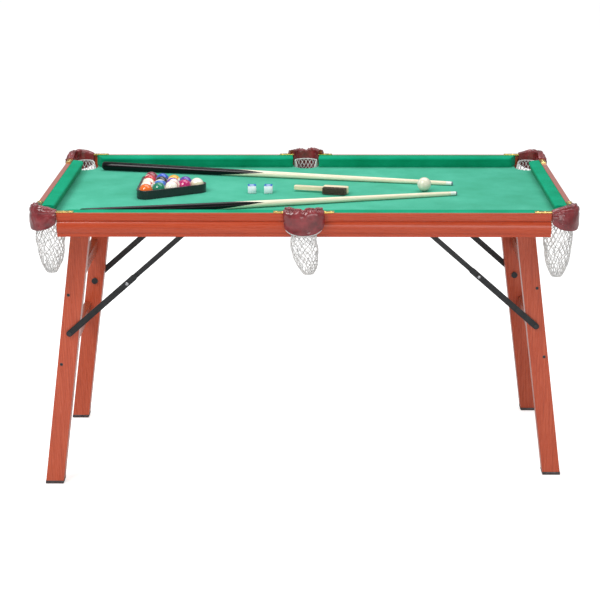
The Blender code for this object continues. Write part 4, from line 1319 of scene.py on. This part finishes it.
def make_cue(name, butt, tip):
    """A turned cue in its own frame, with Z from butt to tip."""
    start = Vector((*butt, BED_TOP + 3 * GAP + BUTT_RADIUS))
    end = Vector((*tip, BED_TOP + 3 * GAP + TIP_RADIUS))
    length = (end - start).length
    profile = [
        (0, 0),
        (0.0070, 0.0),
        (0.0088, 0.0008),
        (0.0106, 0.0025),
        (0.0118, 0.0052),
        (0.0117, 0.0058),
        (0.0121, 0.0066),
        (BUTT_RADIUS, 0.03),
        (0.0115, 0.14),
        (0.0097, 0.36),
        (0.0087, 0.50),
        (0.0078, 0.62),
        (0.0068, 0.80),
        (TIP_RADIUS + 0.0006, length - 0.03),
        (TIP_RADIUS + 0.0004, length - 0.0194),
        (TIP_RADIUS + 0.0003, length - 0.0190),
        (TIP_RADIUS + 0.0002, length - 0.0060),
        (TIP_RADIUS - 0.0001, length - 0.0041),
        (TIP_RADIUS - 0.0001, length - 0.0020),
        (TIP_RADIUS - 0.0012, length - 0.0004),
        (0, length),
    ]
    piece = add(name + "_turned", *lathe(profile, 40), cue_look(name + "_maple", length), None, angle=50)
    piece.location = start
    piece.rotation_mode = "QUATERNION"
    piece.rotation_quaternion = (end - start).to_track_quat("Z", "Y")
    settle(piece, name, [name])


def make_chalk(name, turn):
    """A cube of chalk in a paper label, with a dished top."""
    low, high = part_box(name)
    centre = (low + high) / 2
    half = CHALK_SIDE / 2
    steps = 16
    points = []
    for i in range(steps + 1):
        for j in range(steps + 1):
            x = half * (2 * i / steps - 1)
            y = half * (2 * j / steps - 1)
            dish = 0.0030 * max(0.0, 1 - (x * x + y * y) / (0.80 * half) ** 2)
            grit = 0.0002 * noise.noise(Vector((x, y, 0)) * 900)
            edge = 0.0006 if i in (0, steps) or j in (0, steps) else 0
            points.append(Vector((x * 0.985, y * 0.985, half - dish - edge + grit)))
    faces = grid_faces(steps + 1, steps + 1)
    rings = []
    levels = ((-half, 0.0010), (-half + 0.0008, 0.0002), (half - 0.0016, 0.0002), (half - 0.0012, 0.0006))
    for z, inset in levels:
        straight = half - inset - CHALK_ROUNDING
        rings.append([Vector((x, y, z)) for x, y in rounded_square(straight, straight, CHALK_ROUNDING)])
    block = add(name + "_block", points, faces, "chalk", None, angle=50)
    skirt = block.modifiers.new("Depth", "SOLIDIFY")
    skirt.thickness = 0.004
    skirt.offset = -1
    label = add(name + "_label", *capped(rings), "paper", None, angle=50)
    for piece in (block, label):
        piece.location = centre
        piece.rotation_euler = (0, 0, turn)
    settle(block, name, [name])
    settle(label, name)


# The brush's handle: (distance from its end, half width, half height)
BRUSH_HANDLE = (
    (0.000, 0.0066, 0.0060),
    (0.030, 0.0064, 0.0062),
    (0.060, 0.0058, 0.0062),
    (0.087, 0.0056, 0.0064),
)
BRISTLE_PITCH = 0.0038


def make_brush():
    """A table brush: a flat bar of a handle, a wooden head and rows of bristle tufts along its front."""
    angle = math.radians(-14)
    place = Matrix.Translation((-0.030, 0.0138, BED_TOP + GAP)) @ Matrix.Rotation(angle, 4, "Z")
    head_start, head_end = 0.083, 0.152
    section = ((-0.004, 0.001), (-0.004, 0.020), (0.009, 0.021), (0.012, 0.018), (0.012, 0.003), (0.009, 0))
    rings = []
    insets = (0.0022, 0.0, 0.0, 0.0022)
    for x, inset in zip((head_start, head_start + 0.002, head_end - 0.003, head_end), insets):
        ring = []
        for y, z in section:
            ring.append(Vector((x, y + (0.004 - y) * inset * 60, z + (0.0105 - z) * inset * 60)))
        rings.append(ring)
    head = add("brush_head", *capped(rings), "brush_wood", None, angle=50)
    bevel = head.modifiers.new("Edges", "BEVEL")
    bevel.width = 0.0014
    bevel.segments = 3
    head.matrix_world = place
    settle(head, "brush", ["brush"])
    rings = []
    corners = ((-1, -1), (1, -1), (1, 1), (-1, 1))
    for x, half_y, half_z in BRUSH_HANDLE:
        rings.append([Vector((x, 0.005 + sy * half_y, 0.010 + sz * half_z)) for sy, sz in corners])
    handle = add("brush_handle", *capped(rings), "brush_wood", None, angle=50)
    round_edge = handle.modifiers.new("Edges", "BEVEL")
    round_edge.width = 0.0018
    round_edge.segments = 4
    handle.matrix_world = place
    settle(handle, "brush")
    parts = []
    for i in range(17):
        for j in range(5):
            x = head_start + BRISTLE_PITCH + i * BRISTLE_PITCH
            z = 0.0035 + j * 0.0035
            spread_x = noise.noise(Vector((x * 900, z * 700, 0)))
            spread_z = noise.noise(Vector((x * 700, z * 900, 5)))
            spread = Vector((spread_x, 0, spread_z)) * 0.0012
            root, tip = Vector((x, -0.0030, z)), Vector((x, -0.0236, z)) + spread
            tip.z = max(tip.z, 0.0016)
            middle = root.lerp(tip, 0.55) + spread * 0.3
            rings = []
            for at, radius in ((root, 0.0012), (middle, 0.0016), (tip, 0.0018)):
                ring = []
                for k in range(7):
                    turn = 2 * math.pi * k / 7
                    ring.append(at + Vector((radius * math.cos(turn), 0, radius * math.sin(turn))))
                rings.append(ring)
            parts.append(capped(rings))
    bristles = add("brush_bristles", *joined(parts), "bristle", None, angle=50)
    bristles.matrix_world = place
    settle(bristles, "brush")


def make_playing_set():
    make_racked_balls()
    make_cue("cue_far", (-0.5907, 0.2896), (0.4114, 0.0841))
    make_cue("cue_near", (-0.5756, -0.2998), (0.4128, -0.0364))
    make_chalk("chalk_left", math.radians(4))
    make_chalk("chalk_right", math.radians(-3))
    make_brush()


make_camera()
make_stage()
looks = make_looks()
finish_nodes()
make_bed_cloth()
make_cushions()
make_leathers()
make_nets()
make_iron_screws()
make_leg_fixings()
make_playing_set()
